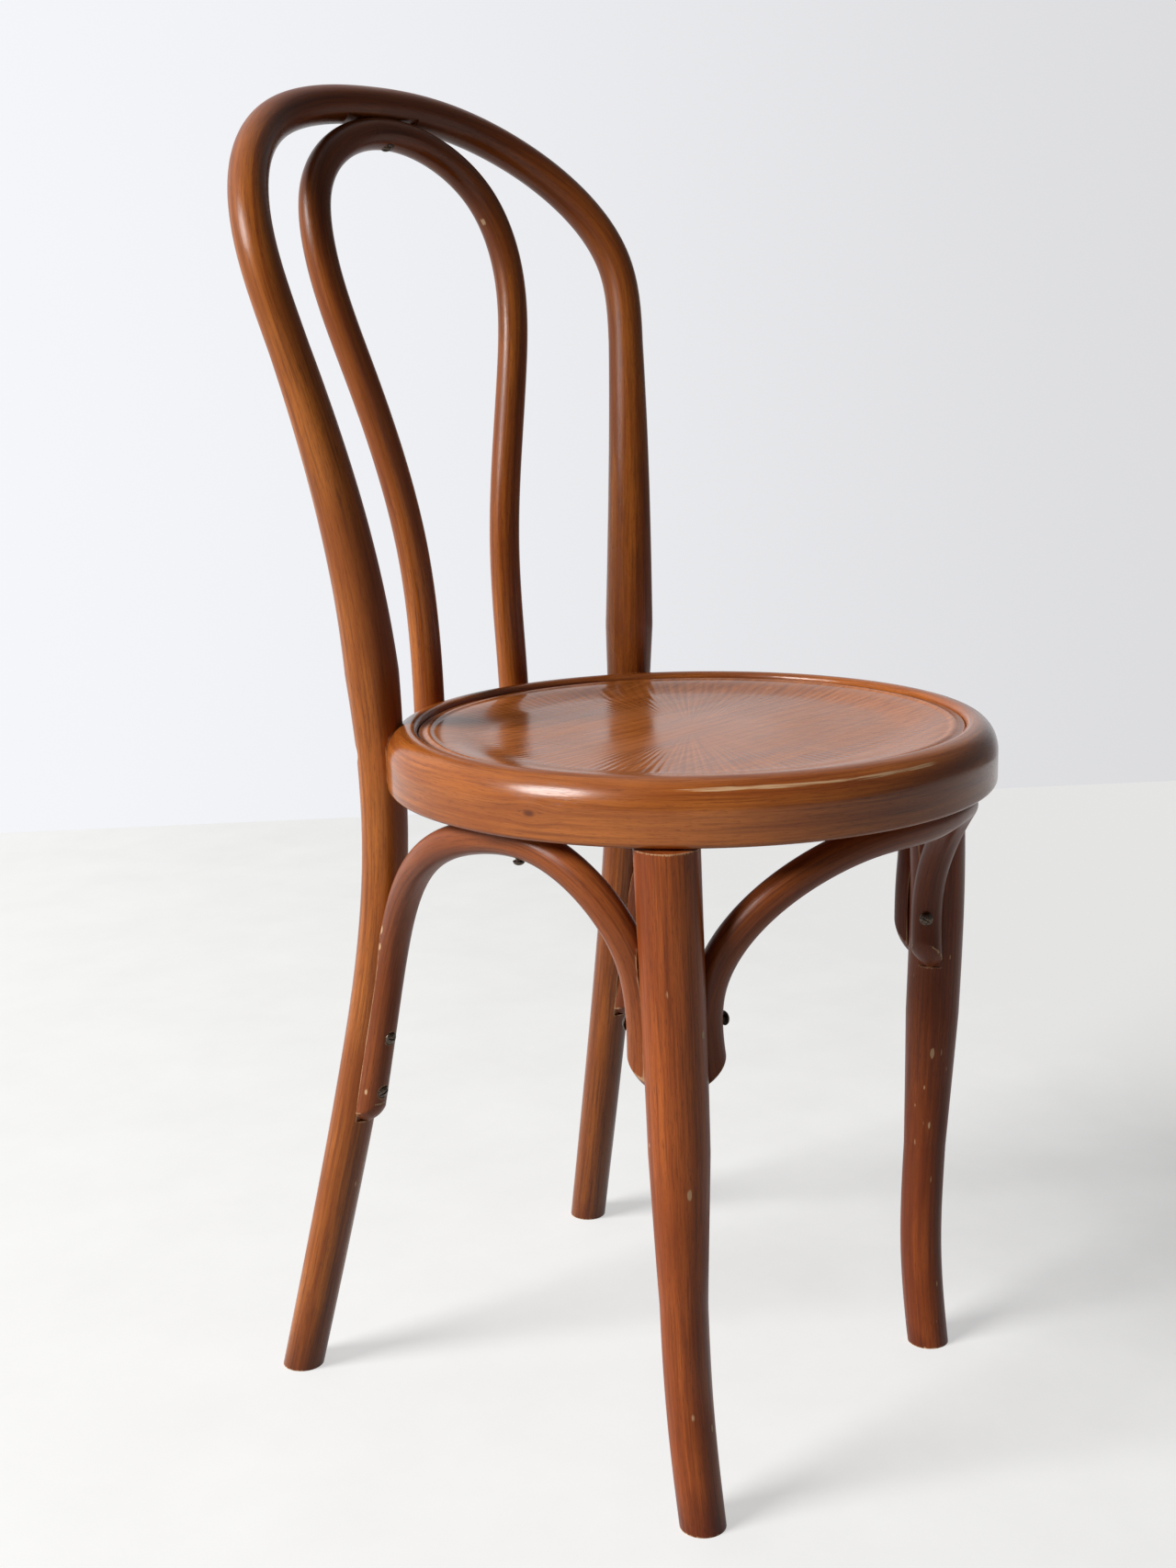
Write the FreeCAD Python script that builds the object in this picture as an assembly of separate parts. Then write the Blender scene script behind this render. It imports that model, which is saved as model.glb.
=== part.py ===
"""Bentwood bistro chair, modelled as the pieces it comes apart into on a bench.

Millimetres, +Z up. The origin lies on the floor under the middle of the chair's outline. The chair
faces -Y, so the sitter's right hand is at -X. Every bent rod is a round stick of beech that was
steamed, bent on an iron form and shaved thinner towards its ends. The rods meet in scribed laps and
small flats, and bolts and wood screws hold them together.
"""

import FreeCAD
import Part
import math
import os
from FreeCAD import Vector

# Seat ring: one bent strip, round on its outer top edge and rebated for the panel.
seat_height = 465.0
seat_radius = 194.0
ring_height = 38.5
ring_width = 40.0
ring_shoulder_width = 15.5
ring_shoulder_drop = 19.0
ring_foot_round = 3.0
ring_roll_width = 4.5
ring_roll_drop = 4.0

# Seat panel: pressed plywood with a bead round its edge and a shallow dish.
panel_thickness = 5.0
panel_dish = 4.5
panel_dish_reach = 36.0
panel_bead_width = 6.0
panel_bead_height = 1.0
panel_gap = 0.3

# Back hoop: both rear legs and the outer bow of the back are one rod.
upright_angle = 50.8
upright_standoff = 5.6
rear_foot_spread = 28.8
rear_foot_rake = 77.9
rear_shin_share = 0.462
rear_shin_spread = 7.4
rear_shin_rake = 28.4
rear_tuck = (-2.0, 1.4, 57.7)
back_rise = 396.7
crown_rake = 112.5
hoop_foot_diameter = 27.8
hoop_shin_diameter = 29.2
hoop_joint_diameter = 30.6
hoop_waist_diameter = 34.6
hoop_back_diameter = 30.2
hoop_bow_diameter = 25.2

# The bow's outline above the seat: wider than the joint by, behind the joint by, above the seat by.
bow_waist = (6.2, 2.3, 65.0)
bow_shoulder = (35.7, 25.7, 235.0)
bow_widest = (42.9, 41.9, 293.4)
bow_corner = (-33.9, 102.9, 382.7)

# Inner hoop: a thinner keyhole-shaped rod that laps on the back of the ring.
inner_angle = 77.4
inner_standoff = 3.2
inner_diameter = 21.2
inner_neck = (1.9, 6.8, 114.0)
crown_lean = 24.0
crown_flat = 2.4

# The inner bow's outline: half width, in front of its crown by, below its crown by.
inner_shoulder = (72.5, 45.9, 162.8)
inner_widest = (87.0, 25.3, 68.8)
inner_corner = (78.5, 16.6, 41.6)

# Front legs: bent in a slight S, thickest under the seat, with a turned tenon into the ring. The ring
# and the front legs stand turned a little against the back, so one leg is further forward.
ring_turn = 2.3
leg_angle = 31.2
leg_inset = 13.4
leg_shoulder_gap = 1.2
tenon_diameter = 18.0
tenon_length = 24.0
leg_foot_diameter = 28.4
leg_ankle_diameter = 28.9
leg_calf_diameter = 36.2
leg_top_diameter = 38.0

# How the leg sways on its way down: share of its height, inwards by, forwards by.
leg_sway = ((0.0, 14.5, 9.1), (0.16, 13.6, 1.7), (0.342, 9.1, 0.9), (0.57, 4.2, 2.6), (0.8, 0.1, 2.8))
ankle_share = 0.342
calf_share = 0.57

# Arch braces: round rods whose ends lie flat on the legs and are rounded off like a thumb.
brace_diameter = 20.4
brace_ring_flat = 0.9
side_top_inset = 20.0
side_top_spread = 7.8
side_rear_bend = (15.5, 26.8, 32.2)
side_front_bend = (16.4, 24.3, 66.3)
front_top_inset = 20.6
front_top_spread = 17.5
front_bend = (25.7, 44.0, 49.6)
rear_tip_drop = 236.1
rear_lap_drop = 118.5
front_tip_drop = 147.0
front_lap_drop = 86.5
rear_lap_offset = ((0.0, -15.2), (-5.0, -17.3))
side_lap_angle = 96.5
side_lap_offset = 21.6
front_lap_angle = 17.3
front_lap_offset = 26.0
rear_lap_depth = 3.0
side_lap_depth = 5.2
front_lap_depth = 9.4
rear_tongue_radius = 20.0
front_tongue_radius = 40.0
tongue_tip = 1.8
rear_flat_run = 12.0
front_flat_run = 50.0

# Fasteners
bolt_diameter = 6.0
bolt_head_diameter = 13.0
bolt_head_height = 3.0
bolt_recess = 4.0
washer_diameter = 16.0
washer_thickness = 1.5
nut_across_flats = 10.0
nut_height = 5.0
bolt_past_nut = 2.0
screw_diameter = 4.0
screw_head_diameter = 9.0
screw_head_height = 2.6
screw_slot = 1.2
screw_bite = 13.0
spot_face_depth = 1.0
rear_screws_up = (27.0, 66.7)
front_screw_up = 38.0
ring_screw_ahead = 9.0
ring_screw_head = 7.2

# Fits
fit = 0.1
seat_clearance = 0.2

# Values that follow from the sizes above
ring_bottom = seat_height - ring_height
ring_middle = ring_bottom + ring_height / 2
ring_inner = seat_radius - ring_width
crown_radius = seat_radius - ring_shoulder_width
panel_radius = crown_radius - ring_roll_width
ledge_height = seat_height - ring_roll_drop - panel_thickness
brace_radius = brace_diameter / 2
leg_shoulder = ring_bottom - leg_shoulder_gap
rear_tip_height = ring_bottom - rear_tip_drop
rear_lap_height = ring_bottom - rear_lap_drop
front_tip_height = ring_bottom - front_tip_drop
front_lap_height = ring_bottom - front_lap_drop
far_out = 1000.0


def polar(radius, degrees, height):
    """A point on a circle round the seat's centre, at an angle counted from +X."""
    angle = math.radians(degrees)
    return Vector(radius * math.cos(angle), radius * math.sin(angle), height)


def mirrored(shape):
    """The same piece on the other side of the chair."""
    return shape.mirror(Vector(0, 0, 0), Vector(1, 0, 0))


def flip(point):
    return Vector(-point.x, point.y, point.z)


def turned(thing, degrees):
    """A point or a shape, turned about the seat's middle."""
    turn = FreeCAD.Placement(Vector(0, 0, 0), FreeCAD.Rotation(Vector(0, 0, 1), degrees))
    if isinstance(thing, Vector):
        return turn.multVec(thing)
    return thing.transformed(turn.toMatrix())


def smooth_curve(points):
    """A smooth curve through the points, spaced by the distances between them."""
    steps = [0.0]
    for first, second in zip(points, points[1:]):
        steps.append(steps[-1] + first.distanceToPoint(second))
    curve = Part.BSplineCurve()
    curve.interpolate(Points=points, Parameters=steps)
    return curve


def blend(value, table):
    """Straight-line interpolation in a short table of (position, size) pairs."""
    if value <= table[0][0]:
        return table[0][1]
    for (low, size_low), (high, size_high) in zip(table, table[1:]):
        if value <= high:
            return size_low + (size_high - size_low) * (value - low) / (high - low)
    return table[-1][1]


def bent_rod(curve, diameter_at, facing, stations):
    """A round rod along a curve: a loft through circles that stand square to it."""
    length = curve.length()
    sections = []
    for index in range(stations + 1):
        place = curve.parameterAtDistance(length * index / stations, curve.FirstParameter)
        centre = curve.value(place)
        along = curve.tangent(place)[0]
        across = facing(centre)
        across = (across - along * across.dot(along)).normalize()
        beside = along.cross(across)
        turn = FreeCAD.Placement(centre, FreeCAD.Rotation(across, beside, along, "ZXY"))
        ring = Part.makeCircle(diameter_at(centre) / 2)
        ring.Placement = turn
        sections.append(Part.Wire([ring]))
    return Part.makeLoft(sections, True, False)


def backwards(_):
    return Vector(0, 1, 0)


def outwards(point):
    return Vector(point.x, point.y, 0)


def point_at_height(curve, height, start, end):
    """The point of a rod's axis at a height, found by halving the stretch between two lengths."""
    low, high = start, end
    rising = curve.value(high).z > curve.value(low).z
    for _ in range(50):
        middle = (low + high) / 2
        if (curve.value(middle).z < height) == rising:
            low = middle
        else:
            high = middle
    return curve.value((low + high) / 2)


def plug(start, direction, radius, length):
    return Part.makeCylinder(radius, length, start, direction)


def above(height):
    """Everything over a height, to trim a piece level."""
    return Part.makeBox(2 * far_out, 2 * far_out, far_out, Vector(-far_out, -far_out, height))


def below(height):
    return above(height - far_out)


def ring_outline(grow):
    """Half the ring's section without the rebate, grown by a clearance."""
    outer = seat_radius + grow
    top = seat_height + grow
    bottom = ring_bottom - grow
    shoulder = seat_height - ring_shoulder_drop
    squat = Part.Ellipse(Vector(0, 0, 0), ring_shoulder_drop + grow, ring_shoulder_width + grow)
    frame = FreeCAD.Matrix(0, 1, 0, crown_radius, 0, 0, 1, 0, 1, 0, 0, shoulder, 0, 0, 0, 1)
    squat.transform(frame)
    round_top = Part.Arc(squat, 0, math.pi / 2).toShape()
    foot = ring_foot_round
    foot_start = Vector(outer - foot, 0, bottom)
    lift = foot * (1 - math.sqrt(0.5))
    foot_middle = Vector(outer - lift, 0, bottom + lift)
    foot_end = Vector(outer, 0, bottom + foot)
    round_foot = Part.Arc(foot_start, foot_middle, foot_end).toShape()
    return round_top, round_foot, outer, top, bottom, shoulder


def ring_solid(grow):
    """The ring as a disc with its outer form, turned about the chair's axis."""
    round_top, round_foot, outer, top, bottom, shoulder = ring_outline(grow)
    crown = Vector(crown_radius, 0, top)
    edges = [
        Part.makeLine(Vector(0, 0, bottom), Vector(outer - ring_foot_round, 0, bottom)),
        round_foot,
        Part.makeLine(Vector(outer, 0, bottom + ring_foot_round), Vector(outer, 0, shoulder)),
        round_top,
        Part.makeLine(crown, Vector(0, 0, top)),
        Part.makeLine(Vector(0, 0, top), Vector(0, 0, bottom)),
    ]
    section = Part.Face(Part.Wire(Part.__sortEdges__(edges)))
    return section.revolve(Vector(0, 0, 0), Vector(0, 0, 1), 360)


def seat_ring():
    """The ring: outer form, open middle, rolled inner edge and the rebate that holds the panel."""
    ring = ring_solid(0)
    roll_start = Vector(0, 0, seat_height - ring_roll_drop)
    roll = Part.makeCone(panel_radius, crown_radius, ring_roll_drop, roll_start)
    rebate = plug(Vector(0, 0, ledge_height), Vector(0, 0, 1), panel_radius, ring_height)
    opening = plug(Vector(0, 0, ring_bottom - 1), Vector(0, 0, 1), ring_inner, ring_height)
    return ring.cut(roll).cut(rebate).cut(opening)


def seat_panel():
    """The panel: a turned section with a dish, a bead near the edge and an even thickness."""
    edge = panel_radius - panel_gap
    top = ledge_height + panel_thickness
    bead_outer = edge - 2 * panel_bead_width / 3
    bead_inner = bead_outer - panel_bead_width
    flat = bead_inner - panel_dish_reach
    low = top - panel_dish
    bead_middle = (bead_outer + bead_inner) / 2
    slope = Part.BSplineCurve()
    slope.buildFromPoles([
        Vector(bead_inner, 0, top),
        Vector(bead_inner - panel_dish_reach * 0.45, 0, top),
        Vector(flat + panel_dish_reach * 0.45, 0, low),
        Vector(flat, 0, low),
    ], False, 3)
    step = ring_inner - panel_gap
    under = Part.BSplineCurve()
    under.buildFromPoles([
        Vector(step, 0, ledge_height),
        Vector(step - (step - flat) * 0.45, 0, ledge_height),
        Vector(flat + (step - flat) * 0.45, 0, low - panel_thickness),
        Vector(flat, 0, low - panel_thickness),
    ], False, 3)
    bead_top = Vector(bead_middle, 0, top + panel_bead_height)
    bead = Part.Arc(Vector(bead_outer, 0, top), bead_top, Vector(bead_inner, 0, top))
    edges = [
        Part.makeLine(Vector(edge, 0, ledge_height), Vector(edge, 0, top)),
        Part.makeLine(Vector(edge, 0, top), Vector(bead_outer, 0, top)),
        bead.toShape(),
        slope.toShape(),
        Part.makeLine(Vector(flat, 0, low), Vector(0, 0, low)),
        Part.makeLine(Vector(0, 0, low), Vector(0, 0, low - panel_thickness)),
        Part.makeLine(Vector(0, 0, low - panel_thickness), Vector(flat, 0, low - panel_thickness)),
        under.toShape(),
        Part.makeLine(Vector(step, 0, ledge_height), Vector(edge, 0, ledge_height)),
    ]
    section = Part.Face(Part.Wire(Part.__sortEdges__(edges)))
    return section.revolve(Vector(0, 0, 0), Vector(0, 0, 1), 360)


# The axes of the two hoops and the legs, which every joint is worked out from.
joint = polar(seat_radius + upright_standoff, upright_angle, ring_middle)
rear_foot = Vector(joint.x + rear_foot_spread, joint.y + rear_foot_rake, 0)
rear_shin = Vector(joint.x + rear_shin_spread, joint.y + rear_shin_rake, seat_height * rear_shin_share)
rear_tuck_point = joint + Vector(rear_tuck[0], rear_tuck[1], -rear_tuck[2])
crown = Vector(0, joint.y + crown_rake, seat_height + back_rise)
below_foot = rear_foot + (rear_foot - rear_shin) * (hoop_foot_diameter / (2 * rear_shin.z))


def bow_point(offset):
    spread, rake, rise = offset
    return Vector(joint.x + spread, joint.y + rake, seat_height + rise)


hoop_side = [below_foot, rear_shin, rear_tuck_point, joint]
hoop_side += [bow_point(offset) for offset in (bow_waist, bow_shoulder, bow_widest, bow_corner)]
hoop_axis = smooth_curve(hoop_side + [crown] + [flip(p) for p in reversed(hoop_side)])

crown_gap = (hoop_bow_diameter + inner_diameter) / 2 - crown_flat
crown_down = Vector(0, -math.sin(math.radians(crown_lean)), -math.cos(math.radians(crown_lean)))
inner_crown = crown + crown_down * crown_gap
inner_joint = polar(seat_radius + inner_standoff, inner_angle, ring_middle)
inner_foot = Vector(inner_joint.x, inner_joint.y, ring_bottom - inner_diameter)
inner_side = [inner_foot, inner_joint, inner_joint + Vector(*inner_neck)]
inner_side += [Vector(half, inner_crown.y - ahead, inner_crown.z - below)
               for half, ahead, below in (inner_shoulder, inner_widest, inner_corner)]
inner_axis = smooth_curve(inner_side + [inner_crown] + [flip(p) for p in reversed(inner_side)])

leg_top = polar(seat_radius - leg_inset, -leg_angle, leg_shoulder)
leg_points = [leg_top - Vector(inward, forward, leg_shoulder * (1 - share))
              for share, inward, forward in leg_sway]
leg_below = leg_points[0] + (leg_points[0] - leg_points[1]) * 0.2
leg_axis = smooth_curve([leg_below] + leg_points[1:] + [leg_top])


def hoop_diameter(point):
    """The hoop is thickest just above the seat and thins towards the feet and the bow."""
    return blend(point.z, [
        (0, hoop_foot_diameter),
        (rear_shin.z, hoop_shin_diameter),
        (ring_middle, hoop_joint_diameter),
        (seat_height + bow_waist[2] / 2, hoop_waist_diameter),
        (seat_height + back_rise / 3, hoop_back_diameter),
        (seat_height + bow_shoulder[2], hoop_bow_diameter),
    ])


def leg_diameter(point):
    return blend(point.z, [
        (0, leg_foot_diameter),
        (ankle_share * leg_shoulder, leg_ankle_diameter),
        (calf_share * leg_shoulder, leg_calf_diameter),
        (leg_shoulder, leg_top_diameter),
    ])


def hoop_at(height):
    """The right rear leg's axis, on the side of -X."""
    return flip(point_at_height(hoop_axis, height, hoop_axis.FirstParameter,
                                hoop_axis.LastParameter / 4))


def leg_at(height):
    """The right front leg's axis, on the side of -X."""
    return flip(point_at_height(leg_axis, height, leg_axis.FirstParameter, leg_axis.LastParameter))


class Lap:
    """Where a brace's straight end lies on a leg: its axis, its outward normal and the flat."""

    def __init__(self, tip, top, leg_point, depth, flat_run, tongue_radius):
        self.tip = tip
        self.top = top
        self.leg_point = leg_point
        self.depth = depth
        self.flat_run = flat_run
        self.tongue_radius = tongue_radius
        self.along = (top - tip).normalize()
        away = tip - leg_point
        self.normal = (away - self.along * away.dot(self.along)).normalize()
        self.length = tip.distanceToPoint(top)

    def turned(self, degrees):
        """The same lap, turned about the seat's middle with its leg."""
        tip, top, leg_point = (turned(p, degrees) for p in (self.tip, self.top, self.leg_point))
        return Lap(tip, top, leg_point, self.depth, self.flat_run, self.tongue_radius)

    def at(self, distance, height=0.0):
        """A point above the lap's axis: so far from the tip, so far out from the leg."""
        return self.tip + self.along * distance + self.normal * height

    def laid(self, shape):
        """A shape drawn on the origin, laid on the lap: X along it, Z out from the leg."""
        turn = FreeCAD.Rotation(self.along, self.normal.cross(self.along), self.normal, "ZXY")
        shape.Placement = FreeCAD.Placement(self.tip, turn)
        return shape

    def block(self, start, length, low, high):
        """A box in the lap's own directions, wide enough to take the rod or the leg."""
        width = 3 * brace_diameter
        return self.laid(Part.makeBox(length, width, high - low, Vector(start, -width / 2, low)))

    def tongue_length(self):
        """How far the rounding of the end runs back from the tip."""
        drop = self.tongue_radius - brace_radius - self.depth + tongue_tip
        return math.sqrt(self.tongue_radius ** 2 - drop ** 2)

    def thumb(self):
        """The rounded end's form: an arc turned about the middle of the flat."""
        full = brace_radius + self.depth
        length = self.tongue_length()
        middle = math.asin(length / self.tongue_radius) / 2
        centre = Vector(length, 0, full - self.tongue_radius)
        on_arc = centre + Vector(-math.sin(middle), 0, math.cos(middle)) * self.tongue_radius
        corners = [Vector(0, 0, tongue_tip), Vector(length, 0, full), Vector(2 * length, 0, full)]
        edges = [Part.Arc(corners[0], on_arc, corners[1]).toShape()]
        edges.append(Part.makePolygon(corners[1:] + [Vector(2 * length, 0, 0), Vector(), corners[0]]))
        section = Part.Face(Part.Wire([edge for piece in edges for edge in piece.Edges]))
        form = section.revolve(Vector(0, 0, 0), Vector(1, 0, 0), 360)
        form.translate(Vector(0, 0, -self.depth))
        return self.laid(Part.Compound([form])).Solids[0]

    def rod_cut(self):
        """What is taken off the rod: the flat under it, and all outside the rounded end."""
        wide = 2 * brace_diameter
        flat = self.block(-wide, self.length + 2 * wide, -wide, -self.depth)
        end = self.block(-wide, wide + self.tongue_length(), -wide, wide)
        return [flat, end.cut(self.thumb())]

    def leg_cut(self):
        """The flat on the leg that the brace beds on, run out past the bend."""
        return self.block(0, self.length + self.flat_run, -self.depth - fit, brace_diameter)


right_rear_lap = Lap(
    hoop_at(rear_tip_height) + Vector(*rear_lap_offset[0]),
    hoop_at(rear_lap_height) + Vector(*rear_lap_offset[1]),
    hoop_at(rear_tip_height), rear_lap_depth, rear_flat_run, rear_tongue_radius)


mortise_start = flip(leg_top) - Vector(0, 0, tenon_length)


def front_leg_lap(angle, offset, depth):
    """A lap on the right front leg that follows the leg's own line."""
    aside = polar(offset, angle, 0)
    tip = leg_at(front_tip_height)
    top = leg_at(front_lap_height)
    return Lap(tip + aside, top + aside, tip, depth, front_flat_run, front_tongue_radius)


right_side_lap = front_leg_lap(side_lap_angle, side_lap_offset, side_lap_depth)
right_front_lap = front_leg_lap(-front_lap_angle, front_lap_offset, front_lap_depth)


def brace_axis_height():
    return ring_bottom - brace_radius + brace_ring_flat


def side_brace_axis(turn):
    """The right arch: up from the rear leg, along under the ring, down to the turned front leg."""
    top = brace_axis_height()
    rear_inset, rear_angle, rear_drop = side_rear_bend
    front_inset, front_angle, front_drop = side_front_bend
    rear, front = right_rear_lap, right_side_lap.turned(turn)
    return smooth_curve([
        rear.tip,
        rear.at(rear.length / 2),
        rear.top,
        polar(seat_radius - rear_inset, 180 - rear_angle, ring_bottom - rear_drop),
        polar(seat_radius - side_top_inset, 180 - side_top_spread, top),
        polar(seat_radius - side_top_inset, 180 + side_top_spread, top),
        polar(seat_radius - front_inset, 180 + front_angle + turn, ring_bottom - front_drop),
        front.top,
        front.tip,
    ])


def front_brace_axis():
    """The front arch, the same on both sides, before it is turned with the ring."""
    inset, angle, drop = front_bend
    lap = right_front_lap
    half = [
        lap.tip,
        lap.top,
        polar(seat_radius - inset, 180 + 90 - angle, ring_bottom - drop),
        polar(seat_radius - front_top_inset, 270 - front_top_spread, brace_axis_height()),
    ]
    middle = polar(seat_radius - front_top_inset, 270, brace_axis_height())
    return smooth_curve(half + [middle] + [flip(p) for p in reversed(half)])


class Fastener:
    """A turned fastener at a seat: the point under its head and the way it is driven."""

    def __init__(self, seat, inward, shank, length, head, dome):
        self.seat = seat
        self.inward = Vector(inward).normalize()
        self.shank = shank
        self.length = length
        self.head = head
        self.dome = dome

    def solid(self, slotted=True):
        """The head as a slice of a ball on a plain shank, with a slot across it for screws."""
        head = self.head / 2
        ball = (head ** 2 + self.dome ** 2) / (2 * self.dome)
        cap = Part.makeSphere(ball, Vector(0, 0, self.dome - ball))
        cap = cap.common(Part.makeCylinder(head, self.dome, Vector(0, 0, 0)))
        shank = Part.makeCylinder(self.shank / 2, self.length, Vector(0, 0, -self.length))
        shape = cap.fuse(shank)
        if slotted:
            corner = Vector(-head, -screw_slot / 2, self.dome / 2)
            slot = Part.makeBox(2 * head, screw_slot, self.dome, corner)
            shape = shape.cut(slot)
        shape.Placement = FreeCAD.Placement(self.seat, FreeCAD.Rotation(Vector(0, 0, -1), self.inward))
        return shape.removeSplitter().Solids[0]

    def hole(self, through):
        """The bore for the shank and the spot face that the head sits on."""
        room = 2 * fit
        bore = plug(self.seat, self.inward, self.shank / 2 + fit, self.length + through)
        outside = self.seat - self.inward * self.head
        face = plug(outside, self.inward, self.head / 2 + room, self.head)
        return bore.fuse(face)


def lap_screw(lap, distance):
    """A screw through a brace's straight end into the leg, square to the lap."""
    seat = lap.at(distance, brace_radius - spot_face_depth)
    length = brace_radius - spot_face_depth + lap.depth + screw_bite
    return Fastener(seat, -lap.normal, screw_diameter, length, screw_head_diameter, screw_head_height)


def ring_screw(radius, degrees, depth):
    """A screw up through the top of an arch into the ring."""
    seat = polar(radius, degrees, brace_axis_height() - brace_radius + depth)
    length = ring_bottom - seat.z + screw_bite
    return Fastener(seat, Vector(0, 0, 1), screw_diameter, length, ring_screw_head, screw_head_height)


right_lap_screws = [lap_screw(right_rear_lap, distance) for distance in rear_screws_up]
right_front_screws = [lap_screw(lap, front_screw_up) for lap in (right_side_lap, right_front_lap)]

side_screw_radius = seat_radius - side_top_inset
side_screw_turn = math.degrees(math.asin(ring_screw_ahead / side_screw_radius))
right_ring_screw = ring_screw(side_screw_radius, 180 + side_screw_turn, spot_face_depth)
front_ring_screw = ring_screw(seat_radius - front_top_inset, 270, screw_head_height + spot_face_depth)

bolt_stand = seat_radius + upright_standoff + hoop_joint_diameter / 2 - bolt_recess
nut_stand = ring_inner + spot_face_depth
bolt_length = bolt_stand - nut_stand + washer_thickness + nut_height + bolt_past_nut
right_bolt = Fastener(
    polar(bolt_stand, 180 - upright_angle, ring_middle), polar(1, -upright_angle, 0),
    bolt_diameter, bolt_length, bolt_head_diameter, bolt_head_height)

hook_stand = inner_standoff + inner_diameter / 2 - spot_face_depth
right_hook_screw = Fastener(
    polar(seat_radius + hook_stand, 180 - inner_angle, ring_middle), polar(1, -inner_angle, 0),
    screw_diameter, hook_stand + screw_bite, screw_head_diameter, screw_head_height)

crown_seat = inner_crown + crown_down * (inner_diameter / 2 - spot_face_depth)
crown_plane = inner_crown - crown_down * (inner_diameter - crown_flat) / 2
crown_length = inner_diameter - crown_flat / 2 - spot_face_depth + screw_bite
crown_screw = Fastener(
    crown_seat, -crown_down, screw_diameter, crown_length, screw_head_diameter, screw_head_height)


def both_sides(shapes):
    """The shapes and their mirror images, as one list."""
    return list(shapes) + [mirrored(shape) for shape in shapes]


def cut_all(shape, tools):
    """One piece with every tool cut from it, as a single solid."""
    result = shape.cut(list(tools))
    return max(result.Solids, key=lambda solid: solid.Volume)


def crown_block(half_length, outwards_reach):
    """A box on the crown's joint plane, reaching to the bow's side or to the inner hoop's."""
    depth = 2 * hoop_bow_diameter
    box = Part.makeBox(2 * half_length, depth, abs(outwards_reach),
                       Vector(-half_length, -depth / 2, min(0, outwards_reach)))
    box.Placement = FreeCAD.Placement(crown_plane, FreeCAD.Rotation(Vector(0, 0, -1), crown_down))
    return box


def crown_seat_half():
    """Half the length over which the two hoops would run into each other."""
    middle = (hoop_axis.FirstParameter + hoop_axis.LastParameter) / 2
    inner_middle = (inner_axis.FirstParameter + inner_axis.LastParameter) / 2
    bend = inner_axis.curvature(inner_middle) - hoop_axis.curvature(middle)
    return math.sqrt(2 * crown_flat / bend) + brace_radius


def back_hoop():
    """Rear legs and outer bow, notched over the ring and flat where another rod meets it."""
    rod = bent_rod(hoop_axis, hoop_diameter, backwards, 36)
    side = [right_rear_lap.leg_cut(), right_bolt.hole(0)]
    side += [screw.hole(fit) for screw in right_lap_screws]
    tools = [below(0), ring_solid(seat_clearance), crown_screw.hole(fit)]
    tools += [crown_block(crown_seat_half(), -hoop_bow_diameter / 2)]
    return cut_all(rod, tools + both_sides(side))


def inner_hoop():
    """The keyhole-shaped hoop: its ends lap on the ring's back, its crown sits under the bow."""
    rod = bent_rod(inner_axis, lambda _: inner_diameter, backwards, 36)
    tools = [below(ring_bottom), ring_solid(seat_clearance), crown_screw.hole(0)]
    tools += [crown_block(crown_seat_half() + inner_diameter, inner_diameter)]
    return cut_all(rod, tools + both_sides([right_hook_screw.hole(0)]))


def front_leg():
    """The right front leg: an S-bent rod with a square shoulder and a round tenon."""
    rod = mirrored(bent_rod(leg_axis, leg_diameter, outwards, 16))
    tools = [below(0), above(leg_shoulder), right_side_lap.leg_cut(), right_front_lap.leg_cut()]
    tools += [screw.hole(fit) for screw in right_front_screws]
    body = cut_all(rod, tools)
    tenon = plug(mortise_start, Vector(0, 0, 1), tenon_diameter / 2, 2 * tenon_length)
    return body.fuse(tenon).Solids[0]


def bored_ring():
    """The ring with its mortises, bolt holes with spot faces, and pilot holes."""
    side = [right_bolt.hole(0), right_ring_screw.hole(fit), right_hook_screw.hole(fit)]
    face_start = polar(ring_inner - washer_diameter, 180 - upright_angle, ring_middle)
    face_length = washer_diameter + spot_face_depth
    side += [plug(face_start, polar(1, 180 - upright_angle, 0), washer_diameter / 2 + 2 * fit, face_length)]
    mortise = plug(mortise_start, Vector(0, 0, 1), tenon_diameter / 2 + fit, 2 * tenon_length + fit)
    front = both_sides([mortise]) + [front_ring_screw.hole(fit)]
    return cut_all(seat_ring(), both_sides(side) + [turned(tool, ring_turn) for tool in front])


def side_brace(turn):
    """The right arch under the seat, from the rear leg over to the front leg, turned so far."""
    rod = bent_rod(side_brace_axis(turn), lambda _: brace_diameter, outwards, 30)
    front_lap = right_side_lap.turned(turn)
    tools = [above(ring_bottom), right_ring_screw.hole(0)]
    tools += right_rear_lap.rod_cut() + front_lap.rod_cut()
    tools += [screw.hole(0) for screw in right_lap_screws + [lap_screw(front_lap, front_screw_up)]]
    return cut_all(rod, tools)


def front_brace():
    """The arch between the front legs, before it is turned with the ring."""
    rod = bent_rod(front_brace_axis(), lambda _: brace_diameter, outwards, 30)
    side = right_front_lap.rod_cut() + [right_front_screws[1].hole(0)]
    return cut_all(rod, [above(ring_bottom), front_ring_screw.hole(0)] + both_sides(side))


def along_bolt(shape, distance):
    """A washer or nut, built on the origin, slid along the right bolt to a distance from the axis."""
    turn = FreeCAD.Rotation(Vector(0, 0, 1), right_bolt.inward)
    shape.Placement = FreeCAD.Placement(polar(distance, 180 - upright_angle, ring_middle), turn)
    return shape


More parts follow.
